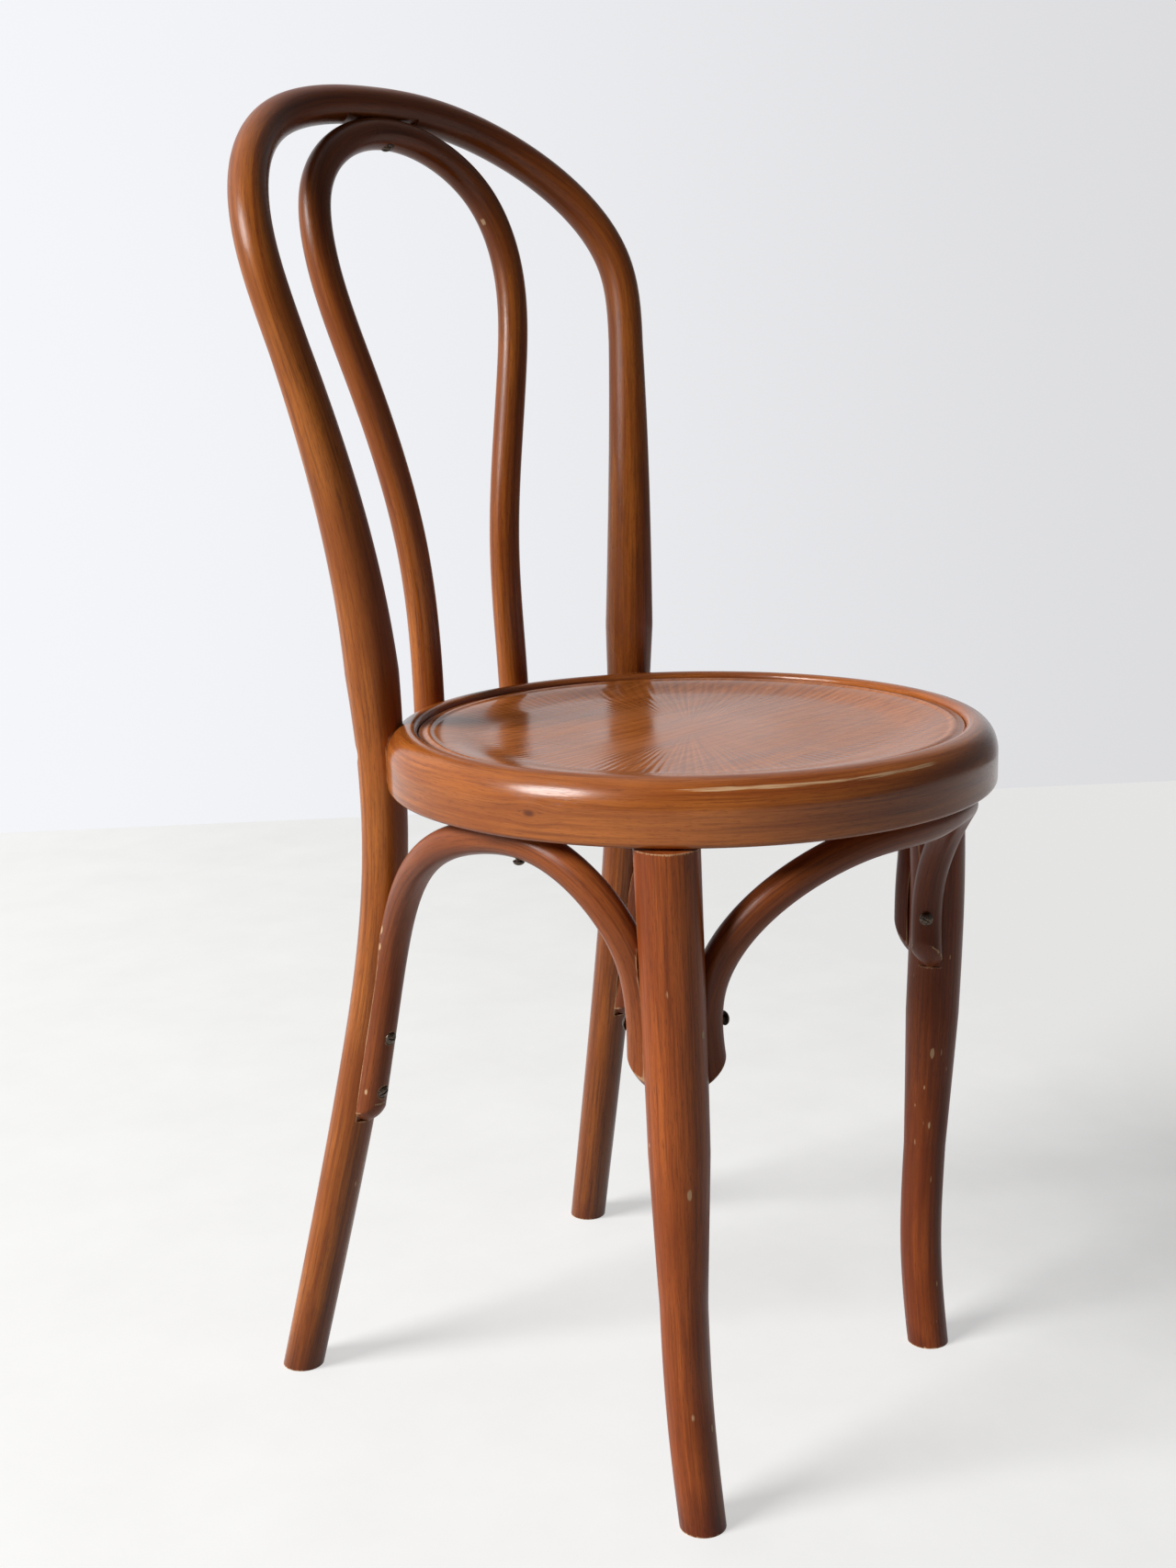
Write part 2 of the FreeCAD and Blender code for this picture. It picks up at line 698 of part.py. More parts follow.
def washer():
    disc = Part.makeCylinder(washer_diameter / 2, washer_thickness)
    bore = Part.makeCylinder(bolt_diameter / 2 + fit, 3 * washer_thickness, Vector(0, 0, -washer_thickness))
    return along_bolt(disc.cut(bore), nut_stand)


def nut():
    corner = nut_across_flats / math.sqrt(3)
    corners = [polar(corner, 60 * turn, 0) for turn in range(7)]
    block = Part.Face(Part.makePolygon(corners)).extrude(Vector(0, 0, nut_height))
    bore = Part.makeCylinder(bolt_diameter / 2 + fit, 3 * nut_height, Vector(0, 0, -nut_height))
    return along_bolt(block.cut(bore), nut_stand - washer_thickness)


def save(name, shapes):
    """One file for one node; the middle of the outline moves onto the origin."""
    back = crown.y + hoop_bow_diameter / 2
    shift = Vector(0, (seat_radius - back) / 2, 0)
    moved = []
    for shape in shapes:
        piece = shape.copy()
        piece.translate(shift)
        moved.append(piece)
    whole = moved[0] if len(moved) == 1 else Part.makeCompound(moved)
    whole.exportStep(os.path.join("parts", name + ".step"))


def build():
    """Every node of the chair: its name and its solids."""
    leg = front_leg()
    rear_screws = both_sides([screw.solid() for screw in right_lap_screws])
    front_screws = both_sides([screw.solid() for screw in right_front_screws])
    return {
        "seat_ring": [bored_ring()],
        "seat_panel": [seat_panel()],
        "back_hoop": [back_hoop()],
        "inner_hoop": [inner_hoop()],
        "front_leg_right": [turned(leg, ring_turn)],
        "front_leg_left": [turned(mirrored(leg), ring_turn)],
        "brace_right": [side_brace(ring_turn)],
        "brace_left": [mirrored(side_brace(-ring_turn))],
        "brace_front": [turned(front_brace(), ring_turn)],
        "upright_bolts": both_sides([right_bolt.solid(False)]),
        "upright_washers": both_sides([washer()]),
        "upright_nuts": both_sides([nut()]),
        "inner_hoop_screws": both_sides([right_hook_screw.solid()]),
        "crown_screw": [crown_screw.solid()],
        "brace_leg_screws": rear_screws + [turned(screw, ring_turn) for screw in front_screws],
        "brace_ring_screws": both_sides([right_ring_screw.solid()])
                             + [turned(front_ring_screw.solid(), ring_turn)],
    }


def main():
    os.makedirs("parts", exist_ok=True)
    for name, shapes in build().items():
        save(name, shapes)
        print(name, len(shapes))


if __name__ == "__main__":
    main()
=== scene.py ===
# %% [markdown]
# # A bentwood bistro chair
# The chair is a handful of beech rods that were steamed soft and bent round iron forms: one rod for
# both rear legs and the outer bow, a thinner one for the inner hoop, three arches under the seat,
# two front legs, and a flat strip bent into the seat ring, which holds a pressed panel.
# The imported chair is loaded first. It fixes where every piece is, so nothing below moves or resizes it.

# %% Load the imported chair
import bpy
import bmesh
import math
import numpy as np
from mathutils import Matrix, Vector
from mathutils.kdtree import KDTree


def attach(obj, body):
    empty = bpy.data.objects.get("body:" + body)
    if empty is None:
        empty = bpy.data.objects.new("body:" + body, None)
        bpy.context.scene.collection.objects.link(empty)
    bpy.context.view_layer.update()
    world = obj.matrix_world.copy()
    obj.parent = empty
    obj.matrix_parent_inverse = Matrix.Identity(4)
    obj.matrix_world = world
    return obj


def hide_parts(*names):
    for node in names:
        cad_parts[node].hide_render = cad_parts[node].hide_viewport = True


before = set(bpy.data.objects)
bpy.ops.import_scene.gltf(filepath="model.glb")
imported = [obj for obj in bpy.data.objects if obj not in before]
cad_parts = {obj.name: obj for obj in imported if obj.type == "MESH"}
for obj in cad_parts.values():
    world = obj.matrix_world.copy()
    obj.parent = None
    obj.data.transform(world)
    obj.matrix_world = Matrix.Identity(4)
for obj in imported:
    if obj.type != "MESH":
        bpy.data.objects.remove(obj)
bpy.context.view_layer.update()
print("pieces in the packed chair:", len(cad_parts))

# %% [markdown]
# ## Sizes
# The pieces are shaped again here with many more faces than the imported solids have, and each carries a
# record of where it lay in the straight stick, so that the grain can follow the bends. The sizes are
# those of the solids, in millimetres, counted from the middle of the seat. The whole chair is then
# slid back, so that the middle of its outline stands on the origin.

# %% Sizes of the seat and the rods
mm = 0.001
seat_height = 465.0
seat_radius = 194.0
ring_height = 38.5
ring_bottom = seat_height - ring_height
ring_middle = ring_bottom + ring_height / 2
ring_inner = 154.0
crown_radius = 178.5
panel_radius = 174.0
shoulder_drop = 19.0
shoulder_width = 15.5
lip_drop = 4.0
panel_thickness = 5.0
bow_diameter = 25.2
inner_diameter = 21.2
brace_diameter = 20.4
brace_radius = brace_diameter / 2
crown_depth = 267.18
scarf_angle = 118.0
slide_back = np.array([0, (seat_radius - crown_depth - bow_diameter / 2) / 2, 0])
print("the chair is slid back by", round(float(slide_back[1]), 2), "mm")

# %% Sizes of what holds it together
bolt_head = 13.0
bolt_sink = 4.0
washer_diameter = 16.0
screw_head = 9.0
ring_screw_head = 7.2
screw_sink = 1.0
tenon_radius = 9.0
tenon_reach = 24.0
tenon_room = 0.1
print("screw heads in the laps:", screw_head, "mm, in the ring:", ring_screw_head, "mm")


# %% Points round the seat's middle
def polar(radius, degrees, height):
    angle = math.radians(degrees)
    return np.array([radius * math.cos(angle), radius * math.sin(angle), height])


def flip(point):
    """The same point on the chair's other side."""
    return np.array([-point[0], point[1], point[2]])


def swung(point, degrees):
    """A point swung round the seat's middle."""
    cos, sin = math.cos(math.radians(degrees)), math.sin(math.radians(degrees))
    return np.array([cos * point[0] - sin * point[1], sin * point[0] + cos * point[1], point[2]])


def unit(vector):
    vector = np.array(vector, float)
    return vector / np.linalg.norm(vector)


def placed(points):
    """Millimetres round the seat's middle, as metres in the frame."""
    return (np.array(points, float) + slide_back) * mm


# %% [markdown]
# ## Node trees in short lines
# Both the shapes and the finishes below are made with nodes. This small class puts nodes into a tree
# and wires them up, so that a tree reads like a sum and not like a list of sockets.

# %% Short calls for putting nodes into a tree
class Wires:
    def __init__(self, tree):
        self.tree = tree

    def put(self, node, socket, value):
        target = node.inputs[socket]
        if isinstance(value, bpy.types.NodeSocket):
            self.tree.links.new(value, target)
        else:
            target.default_value = value

    def node(self, kind, **inputs):
        node = self.tree.nodes.new(kind)
        for label, value in inputs.items():
            self.put(node, label.replace("_", " "), value)
        return node

    def maths(self, operation, *values):
        node = self.tree.nodes.new("ShaderNodeMath")
        node.operation = operation
        for index, value in enumerate(values):
            self.put(node, index, value)
        return node.outputs[0]

    def times(self, first, second):
        return self.maths("MULTIPLY", first, second)

    def plus(self, first, second):
        return self.maths("ADD", first, second)

    def minus(self, first, second):
        return self.maths("SUBTRACT", first, second)

    def from_middle(self, x, y):
        """How far a point lies from the middle."""
        return self.maths("SQRT", self.plus(self.times(x, x), self.times(y, y)))

    def vector_maths(self, operation, first, second=(0, 0, 0)):
        node = self.tree.nodes.new("ShaderNodeVectorMath")
        node.operation = operation
        self.put(node, 0, first)
        self.put(node, 1, second)
        return node.outputs["Value" if operation in ("LENGTH", "DOT_PRODUCT") else "Vector"]

    def vector(self, x=0.0, y=0.0, z=0.0):
        return self.node("ShaderNodeCombineXYZ", X=x, Y=y, Z=z).outputs[0]

    def split(self, vector):
        return self.node("ShaderNodeSeparateXYZ", Vector=vector).outputs

    def range(self, value, low, high, out_low=0.0, out_high=1.0):
        """Takes low..high smoothly to out_low..out_high."""
        node = self.tree.nodes.new("ShaderNodeMapRange")
        node.interpolation_type = "SMOOTHSTEP"
        for index, item in enumerate((value, low, high, out_low, out_high)):
            self.put(node, index, item)
        return node.outputs[0]

    def scaled(self, vector, scale, offset=(0, 0, 0)):
        node = self.node("ShaderNodeMapping", Vector=vector)
        node.inputs["Scale"].default_value = scale
        node.inputs["Location"].default_value = offset
        return node.outputs[0]

    def noise(self, vector, detail=3.0, rough=0.5, twist=0.0):
        node = self.node("ShaderNodeTexNoise", Vector=vector, Scale=1.0, Detail=detail, Roughness=rough,
                         Distortion=twist)
        return node.outputs[0]

    def layers(self, vector, rows):
        """One noise for each row: how it is stretched and shifted, then its detail, roughness and twist."""
        return [self.noise(self.scaled(vector, scale, shift), *rest) for scale, shift, *rest in rows]

    def record(self, name, output="Vector"):
        """What a piece's points remember under this name."""
        node = self.node("ShaderNodeAttribute")
        node.attribute_name = name
        return node.outputs[output]

    def relief(self, shader, height, strength):
        bump = self.node("ShaderNodeBump", Strength=strength, Distance=0.0002, Height=height)
        self.put(shader, "Normal", bump.outputs["Normal"])

    def dress(self, geometry, material):
        """The end of a geometry tree: plain geometry with its finish."""
        real = self.node("GeometryNodeRealizeInstances", Geometry=geometry).outputs[0]
        return self.node("GeometryNodeSetMaterial", Geometry=real, Material=material).outputs[0]

    def mix(self, amount, first, second, way="MIX"):
        node = self.tree.nodes.new("ShaderNodeMix")
        node.data_type = "RGBA"
        node.blend_type = way
        for index, value in ((0, amount), (6, first), (7, second)):
            self.put(node, index, value)
        return node.outputs[2]


# %% A new tree with named inputs and outputs
def new_tree(name, kind, inputs, outputs):
    """inputs are rows of a label, what it holds and a first value; outputs have no value."""
    tree = bpy.data.node_groups.new(name, kind)
    for label, holds, value in inputs:
        socket = tree.interface.new_socket(label, in_out="INPUT", socket_type="NodeSocket" + holds)
        if value is not None:
            socket.default_value = value
    for label, holds in outputs:
        tree.interface.new_socket(label, in_out="OUTPUT", socket_type="NodeSocket" + holds)
    return Wires(tree), tree.nodes.new("NodeGroupInput").outputs, tree.nodes.new("NodeGroupOutput")


# %% Grow a piece from a mesh and a geometry tree
def grown(name, mesh, tree, **values):
    """Runs the tree on the mesh and keeps the result as a plain piece without a modifier."""
    holder = bpy.data.objects.new(name, mesh)
    bpy.context.scene.collection.objects.link(holder)
    modifier = holder.modifiers.new("Grow", "NODES")
    modifier.node_group = tree
    for socket in tree.interface.items_tree:
        if socket.in_out == "INPUT" and socket.name in values:
            modifier[socket.identifier] = values[socket.name]
    return baked(holder)


def baked(piece):
    """Applies a piece's modifiers to its mesh."""
    graph = bpy.context.evaluated_depsgraph_get()
    mesh = bpy.data.meshes.new_from_object(piece.evaluated_get(graph))
    piece.modifiers.clear()
    piece.data = mesh
    mesh.name = piece.name
    return piece


# %% Write a record on a mesh's points
def write_record(mesh, name, values):
    """values holds one number or one vector for each point."""
    values = np.array(values, np.float32)
    kind, field = ("FLOAT_VECTOR", "vector") if values.ndim == 2 else ("FLOAT", "value")
    mesh.attributes.new(name, kind, "POINT").data.foreach_set(field, values.ravel())


# %% [markdown]
# ## Stained and lacquered beech
# Beech is pale, with long fine pores and short darker flecks. Here it was stained amber-brown and
# lacquered until it shone. The bow and the left side below the seat carry painted shade, the feet are
# darker near the floor, the sharp edges are rubbed pale, which also paints their highlight, and knocks
# have left small bare nicks. A picture of wood could be wrapped round each rod, but it
# would stretch in the bends and show a seam. One node group makes all of it instead. It reads where
# each point lay in the straight stick, so the streaks run along each bend.

# %% A new material, its wires and its shader
def new_material(name):
    material = bpy.data.materials.new(name)
    material.use_nodes = True
    return material, Wires(material.node_tree), material.node_tree.nodes["Principled BSDF"]


# %% The stained wood's node group
beech_layers = [
    ((4, 55, 55), (0, 0, 0), 3, 0.55, 0.4), ((9, 330, 330), (7, 0, 0), 4, 0.6, 0.3),
    ((14, 520, 520), (3, 0, 0), 3, 0.55, 0.2), ((45, 1500, 1500), (0, 0, 0), 3, 0.6, 0.0),
    ((150, 2600, 2600), (0, 0, 0), 2, 0.5, 0.0), ((11, 30, 30), (4, 0, 0), 2, 0.5, 0.0)]


def stained_beech_group():
    colour, number = "Color", "Float"
    w, start, end = new_tree(
        "Stained beech", "ShaderNodeTree",
        [("Grain", "Vector", None), ("Wear and edge highlight", number, 0.0), ("Age", number, 0.0),
         ("Nicks", number, 0.0), ("Pale", colour, (0.4, 0.15, 0.04, 1)),
         ("Brown", colour, (0.2, 0.06, 0.014, 1)), ("Dark", colour, (0.05, 0.012, 0.004, 1)),
         ("Bare", colour, (0.62, 0.40, 0.22, 1)), ("Streaks", number, 0.5), ("Pores", number, 0.5),
         ("Knot", "Vector", (0, 0, 0))],
        [("Color", colour), ("Height", number), ("Dullness", number)])
    # The grain parts round the knot, which is drawn out along the stick.
    along, side, beside = w.split(w.vector_maths("SUBTRACT", start["Grain"], start["Knot"]))
    distance = w.vector_maths("LENGTH", w.vector(w.times(along, 0.5), side, beside))
    parting = w.times(beside, w.range(distance, 0.001, 0.011, -0.75, 0.0))
    grain = w.vector_maths("ADD", start["Grain"], w.vector(z=parting))
    broad, streak, dark_streak, fine, pore, cloud = w.layers(grain, beech_layers)
    # The stain: pale and brown, then streaks, hairs, pores, clouds, the knot's heart, and age over all.
    tone = w.plus(w.times(broad, 0.5), w.times(streak, 0.5))
    wood = w.mix(w.range(tone, 0.34, 0.64), start["Brown"], start["Pale"])
    streaks = w.times(w.range(dark_streak, 0.50, 0.68), start["Streaks"])
    hairs = w.range(fine, 0.46, 0.72, 0.0, 0.35)
    pores = w.times(w.range(pore, 0.58, 0.68), start["Pores"])
    clouds = w.range(cloud, 0.38, 0.72, 0.0, 0.6)
    heart = w.range(w.plus(distance, w.times(fine, 0.0012)), 0.0012, 0.0034, 0.85, 0.0)
    for amount in (streaks, hairs, pores):
        wood = w.mix(amount, wood, start["Dark"])
    wood = w.mix(clouds, wood, start["Brown"])
    # The stain: pale and brown, then streaks, hairs, pores, clouds, the knot's heart, and over all the
    # painted shade and the darker feet.
    wood = w.mix(heart, wood, start["Dark"])
    # Painted shade: this input darkens the bow and the left side below the seat, and it darkens the feet
    # near the floor.
    wood = w.mix(start["Age"], wood, (0.30, 0.17, 0.14, 1), "MULTIPLY")
    # Bare wood: a nick in a few chosen cells, and the rubbed edges, whose pale line is also a painted
    # highlight.
    cells = w.node("ShaderNodeTexVoronoi", Vector=w.scaled(grain, (75, 190, 190)), Scale=1.0)
    luck, size, _ = w.split(cells.outputs["Color"])
    chosen = w.maths("GREATER_THAN", luck, w.minus(1.0, start["Nicks"]))
    blunt = w.plus(cells.outputs["Distance"], w.times(w.minus(streak, 0.5), 0.7))
    nick_size = w.range(size, 0.0, 1.0, 0.07, 0.32)
    spot = w.range(w.maths("DIVIDE", blunt, nick_size), 0.6, 1.0, 1.0, 0.0)
    nicks = w.times(w.times(chosen, spot), w.range(luck, 0.8, 1.0, 0.6, 0.9))
    rough_edge = w.minus(w.plus(streak, w.times(fine, 1.2)), 1.1)
    ragged_wear_and_highlight = w.plus(start["Wear and edge highlight"], rough_edge)
    rubbed_and_highlit = w.times(w.range(ragged_wear_and_highlight, 0.66, 1.05), 0.8)
    bare_spots_and_edge_highlight = w.maths("MAXIMUM", nicks, rubbed_and_highlit)
    w.put(end, "Color", w.mix(bare_spots_and_edge_highlight, wood, start["Bare"]))
    height = w.minus(w.times(fine, 0.4), w.plus(pores, nicks))
    w.put(end, "Height", height)
    w.put(end, "Dullness", w.maths("MAXIMUM", w.range(cloud, 0.3, 0.7), bare_spots_and_edge_highlight))
    return w.tree


stained_beech = stained_beech_group()
print("nodes in the stain:", len(stained_beech.nodes))


# %% A lacquered material that uses the group
def lacquered(name, colours, streaks=0.5, pores=0.5, nicks=0.02, rough=(0.24, 0.38), gloss=0.22,
              knot=(0, 0, 0)):
    """colours are the stain's pale, brown and dark tones; gloss is the lacquer's specular level."""
    material, w, shader = new_material(name)
    grain = w.record("grain")
    across, _, height = w.split(w.node("ShaderNodeTexCoord").outputs["Object"])
    smoky = w.noise(w.scaled(grain, (14, 60, 60)), 3, 0.6)
    lifted = w.plus(height, w.times(w.minus(smoky, 0.5), 0.12))
    # Painted shade: the bow is darkened, less at its right side, which faces the lamp, and so is the left
    # side below the seat, away from the lamp and under the seat. The feet are darker near the floor.
    bow_painted_shade = w.times(w.range(lifted, 0.68, 0.86, 0.0, 0.6), w.range(across, -0.18, -0.07, 0.2, 1.0))
    darker_near_floor = w.range(lifted, 0.0, 0.05, 0.65, 0.0)
    left_painted_shade = w.times(w.range(across, 0.03, 0.12), w.range(lifted, 0.47, 0.40, 0.0, 0.42))
    painted_shade_and_dark_feet = w.maths("MAXIMUM", w.maths("MAXIMUM", bow_painted_shade, darker_near_floor), left_painted_shade)
    # Shoes and brooms knock the legs more than the seat.
    knocked = w.times(w.range(height, 0.40, 0.24, 0.25, 1.0), nicks)
    # The edge record brings rubbed wear, which also paints the edges' highlight.
    group = w.node("ShaderNodeGroup")
    group.node_tree = stained_beech
    values = {"Grain": grain, "Wear and edge highlight": w.record("wear_and_edge_highlight", "Fac"), "Nicks": knocked, "Age": painted_shade_and_dark_feet,
              "Streaks": streaks, "Pores": pores, "Knot": knot}
    values.update({label: (*value, 1) for label, value in zip(("Pale", "Brown", "Dark"), colours)})
    for label, value in values.items():
        w.put(group, label, value)
    w.put(shader, "Base Color", group.outputs["Color"])
    w.put(shader, "Roughness", w.range(group.outputs["Dullness"], 0, 1, *rough))
    w.relief(shader, group.outputs["Height"], 0.25)
    shader.inputs["Specular IOR Level"].default_value = gloss
    return material


# %% The wood's finishes, with one small knot on the ring's face
ring_start = 30000.0
knot_angle = -170.0
knot_along = ring_start + seat_radius * math.radians((knot_angle - scarf_angle) % 360)
hoop_colours = ((0.45, 0.134, 0.019), (0.21, 0.046, 0.006), (0.05, 0.009, 0.0015))
leg_colours = ((0.42, 0.102, 0.019), (0.20, 0.040, 0.0075), (0.06, 0.011, 0.0025))
arch_colours = ((0.31, 0.082, 0.020), (0.17, 0.038, 0.009), (0.05, 0.009, 0.003))
ring_colours = ((0.44, 0.130, 0.022), (0.24, 0.056, 0.009), (0.09, 0.017, 0.003))
hoop_finish = lacquered("Hoop beech", hoop_colours, 0.42, gloss=0.28)
leg_finish = lacquered("Leg beech", leg_colours, 0.4, nicks=0.12, rough=(0.32, 0.46))
arch_finish = lacquered("Arch beech", arch_colours, 0.35, nicks=0.04, rough=(0.30, 0.44))
ring_finish = lacquered("Ring beech", ring_colours, 0.4, nicks=0.0, rough=(0.15, 0.24), gloss=0.34,
                        knot=(knot_along * mm, 0.020, -0.0028))
print("the knot lies", round(knot_along - ring_start), "mm along the ring's strip")

# %% [markdown]
# ## The panel's veneer
# The veneer's own grain runs straight across the seat, and the rays cross it. Their valleys hold dark
# lacquer. They are worked out from the angle round the middle, so that they meet the pressed shape.
# The panel has the best polish of the chair, so it shows the hoops upside down.

# %% The pressed veneer's material
ray_count = 144.0
ray_inner, ray_outer = 0.03, 0.163
groove_radius = 0.1712
veneer_layers = [
    ((9, 260, 260), (11, 0, 0), 4, 0.6, 0.4), ((5, 26, 26), (2, 0, 0), 3, 0.5, 0.3),
    ((60, 1300, 1300), (0, 0, 0), 2, 0.5, 0.0)]


def pressed_veneer():
    material, w, shader = new_material("Pressed veneer")
    here = w.record("grain")
    x, y, _ = w.split(here)
    radius = w.from_middle(x, y)
    angle = w.maths("ARCTAN2", y, x)
    spokes = w.maths("COSINE", w.times(angle, ray_count))
    fan = w.vector(w.times(w.maths("COSINE", angle), 40.0), w.times(w.maths("SINE", angle), 40.0),
                   w.times(radius, 14.0))
    ray_noise = w.noise(fan, 3, 0.6)
    figure, broad, fine = w.layers(here, veneer_layers)
    tone = w.plus(w.times(figure, 0.45), w.times(broad, 0.25))
    tone = w.plus(tone, w.times(ray_noise, 0.3))
    wood = w.mix(w.range(tone, 0.36, 0.62), (0.29, 0.079, 0.016, 1), (0.48, 0.148, 0.034, 1))
    wood = w.mix(w.range(fine, 0.5, 0.7, 0.0, 0.3), wood, (0.09, 0.024, 0.008, 1))
    in_rays = w.times(w.range(radius, ray_inner, 3 * ray_inner), w.range(radius, 0.150, ray_outer, 1.0, 0.0))
    valley = w.times(w.range(spokes, 0.1, -0.9), in_rays)
    wood = w.mix(w.times(valley, 0.24), wood, (0.14, 0.035, 0.010, 1))
    groove = w.range(w.maths("ABSOLUTE", w.minus(radius, groove_radius)), 0.0, 0.0026, 0.6, 0.0)
    wood = w.mix(groove, wood, (0.045, 0.012, 0.008, 1))
    w.put(shader, "Base Color", wood)
    w.put(shader, "Roughness", w.range(broad, 0.3, 0.7, 0.16, 0.24))
    w.relief(shader, fine, 0.12)
    shader.inputs["Specular IOR Level"].default_value = 0.22
    return material


panel_finish = pressed_veneer()


# %% Steel that has gone brown, and steel that is still bright
def steel(name, colour, rough, rust):
    material, w, shader = new_material(name)
    spots = w.noise(w.scaled(w.node("ShaderNodeTexCoord").outputs["Object"], (900, 900, 900)), 4, 0.6)
    w.put(shader, "Base Color", w.mix(w.range(spots, 0.45, 0.6), (*colour, 1), (*rust, 1)))
    w.put(shader, "Roughness", w.range(spots, 0.4, 0.65, rough, rough + 0.25))
    w.put(shader, "Metallic", w.range(spots, 0.45, 0.65, 0.95, 0.55))
    return material


dark_steel = steel("Brown steel", (0.11, 0.085, 0.065), 0.32, (0.035, 0.02, 0.013))
bright_steel = steel("Zinc steel", (0.45, 0.44, 0.41), 0.32, (0.25, 0.22, 0.18))

# %% [markdown]
# ## A bent rod
# A steamed rod bends in long easy curves, never in corners, and a natural cubic spline bends just as
# a springy stick does. A curve object with a round bevel could follow it too. Here the path is worked
# out first, because the same numbers give the grain later. A geometry tree then lays a circle square
# to it at every step, as wide as the attribute `half_thickness` says, and joins them into a skin.

# %% A smooth path through points
path_steps = 4000


def spring_path(points):
    points = np.array(points, float)
    gaps = np.linalg.norm(np.diff(points, axis=0), axis=1)
    knots = np.concatenate([[0], np.cumsum(gaps)])
    count = len(points)
    matrix = np.eye(count)
    right = np.zeros((count, 3))
    for i in range(1, count - 1):
        matrix[i, i - 1:i + 2] = gaps[i - 1], 2 * (gaps[i - 1] + gaps[i]), gaps[i]
        right[i] = 6 * ((points[i + 1] - points[i]) / gaps[i] - (points[i] - points[i - 1]) / gaps[i - 1])
    bend = np.linalg.solve(matrix, right)
    places = np.linspace(0, knots[-1], path_steps + 1)
    span = np.clip(np.searchsorted(knots, places, side="right") - 1, 0, count - 2)
    t = (places - knots[span])[:, None]
    g = gaps[span][:, None]
    low, high = points[span], points[span + 1]
    bend_low, bend_high = bend[span], bend[span + 1]
    line = (bend_low * (g - t) ** 3 + bend_high * t ** 3) / (6 * g)
    line += (low / g - bend_low * g / 6) * (g - t) + (high / g - bend_high * g / 6) * t
    walked = np.concatenate([[0], np.cumsum(np.linalg.norm(np.diff(line, axis=0), axis=1))])
    return line, walked


def point_at_height(points, height, share=1.0):
    """The point of a path at a height, in the first share of its length."""
    line = spring_path(points)[0]
    line = line[:int(len(line) * share)]
    return np.array([np.interp(height, line[:, 2], line[:, k]) for k in range(3)])


# %% The tree that turns a path into a rod
def bent_rod_tree():
    w, start, end = new_tree(
        "Bent rod", "GeometryNodeTree",
        [("Path", "Geometry", None), ("Sides", "Int", 64),
         ("Finish", "Material", None)],
        [("Rod", "Geometry")])
    curve = w.node("GeometryNodeMeshToCurve", Mesh=start["Path"]).outputs[0]
    section = w.node("GeometryNodeCurvePrimitiveCircle", Resolution=start["Sides"], Radius=1.0).outputs[0]
    half = w.node("GeometryNodeInputNamedAttribute", Name="half_thickness").outputs[0]
    skin = w.node("GeometryNodeCurveToMesh", Curve=curve, Profile_Curve=section, Scale=half, Fill_Caps=True)
    w.put(end, "Rod", w.dress(skin.outputs[0], start["Finish"]))
    return w.tree


bent_rod = bent_rod_tree()
print("nodes in the bent rod's tree:", len(bent_rod.nodes))


# %% Bend a rod, and remember how it lay in the stick
def backwards(_):
    return (0, 1, 0)


def outwards(point):
    return (point[0], point[1], 0)


def bend_rod(name, points, diameter_at, facing, finish, stick_number, step=2.5):
    """diameter_at and facing take a point of the path. facing says where the stick's first side looks."""
    line, walked = spring_path(points)
    marks = np.linspace(0, walked[-1], round(walked[-1] / step) + 1)
    centres = np.stack([np.interp(marks, walked, line[:, k]) for k in range(3)], 1)
    mesh = bpy.data.meshes.new(name)
    mesh.from_pydata(placed(centres).tolist(), [(i, i + 1) for i in range(len(marks) - 1)], [])
    write_record(mesh, "half_thickness", [diameter_at(c) / 2 * mm for c in centres])
    along = np.gradient(centres, axis=0)
    along /= np.linalg.norm(along, axis=1)[:, None]
    side = np.array([facing(c) for c in centres], float)
    side -= along * np.sum(side * along, axis=1)[:, None]
    side /= np.linalg.norm(side, axis=1)[:, None]
    stick = {"marks": marks, "centres": centres, "along": along, "side": side,
             "beside": np.cross(along, side), "number": stick_number}
    print(name, "is bent from a stick of", round(float(walked[-1])), "mm")
    return grown(name, mesh, bent_rod, Finish=finish), stick


# %% [markdown]
# ## Round pieces and cutters
# A turned piece is an outline spun about an axis. Blender's Spin and Screw tools do that too, but they
# leave doubled points on the axis. This helper closes a shape by itself, which clean cuts need. It
# makes the seat ring, the panel, and the round cutters for spot faces and rounded ends.

# %% Spin an outline about an axis
def new_piece(name, points, faces):
    mesh = bpy.data.meshes.new(name)
    mesh.from_pydata(placed(points).tolist(), [], faces)
    work = bmesh.new()
    work.from_mesh(mesh)
    bmesh.ops.recalc_face_normals(work, faces=work.faces)
    work.to_mesh(mesh)
    work.free()
    piece = bpy.data.objects.new(name, mesh)
    bpy.context.scene.collection.objects.link(piece)
    return piece


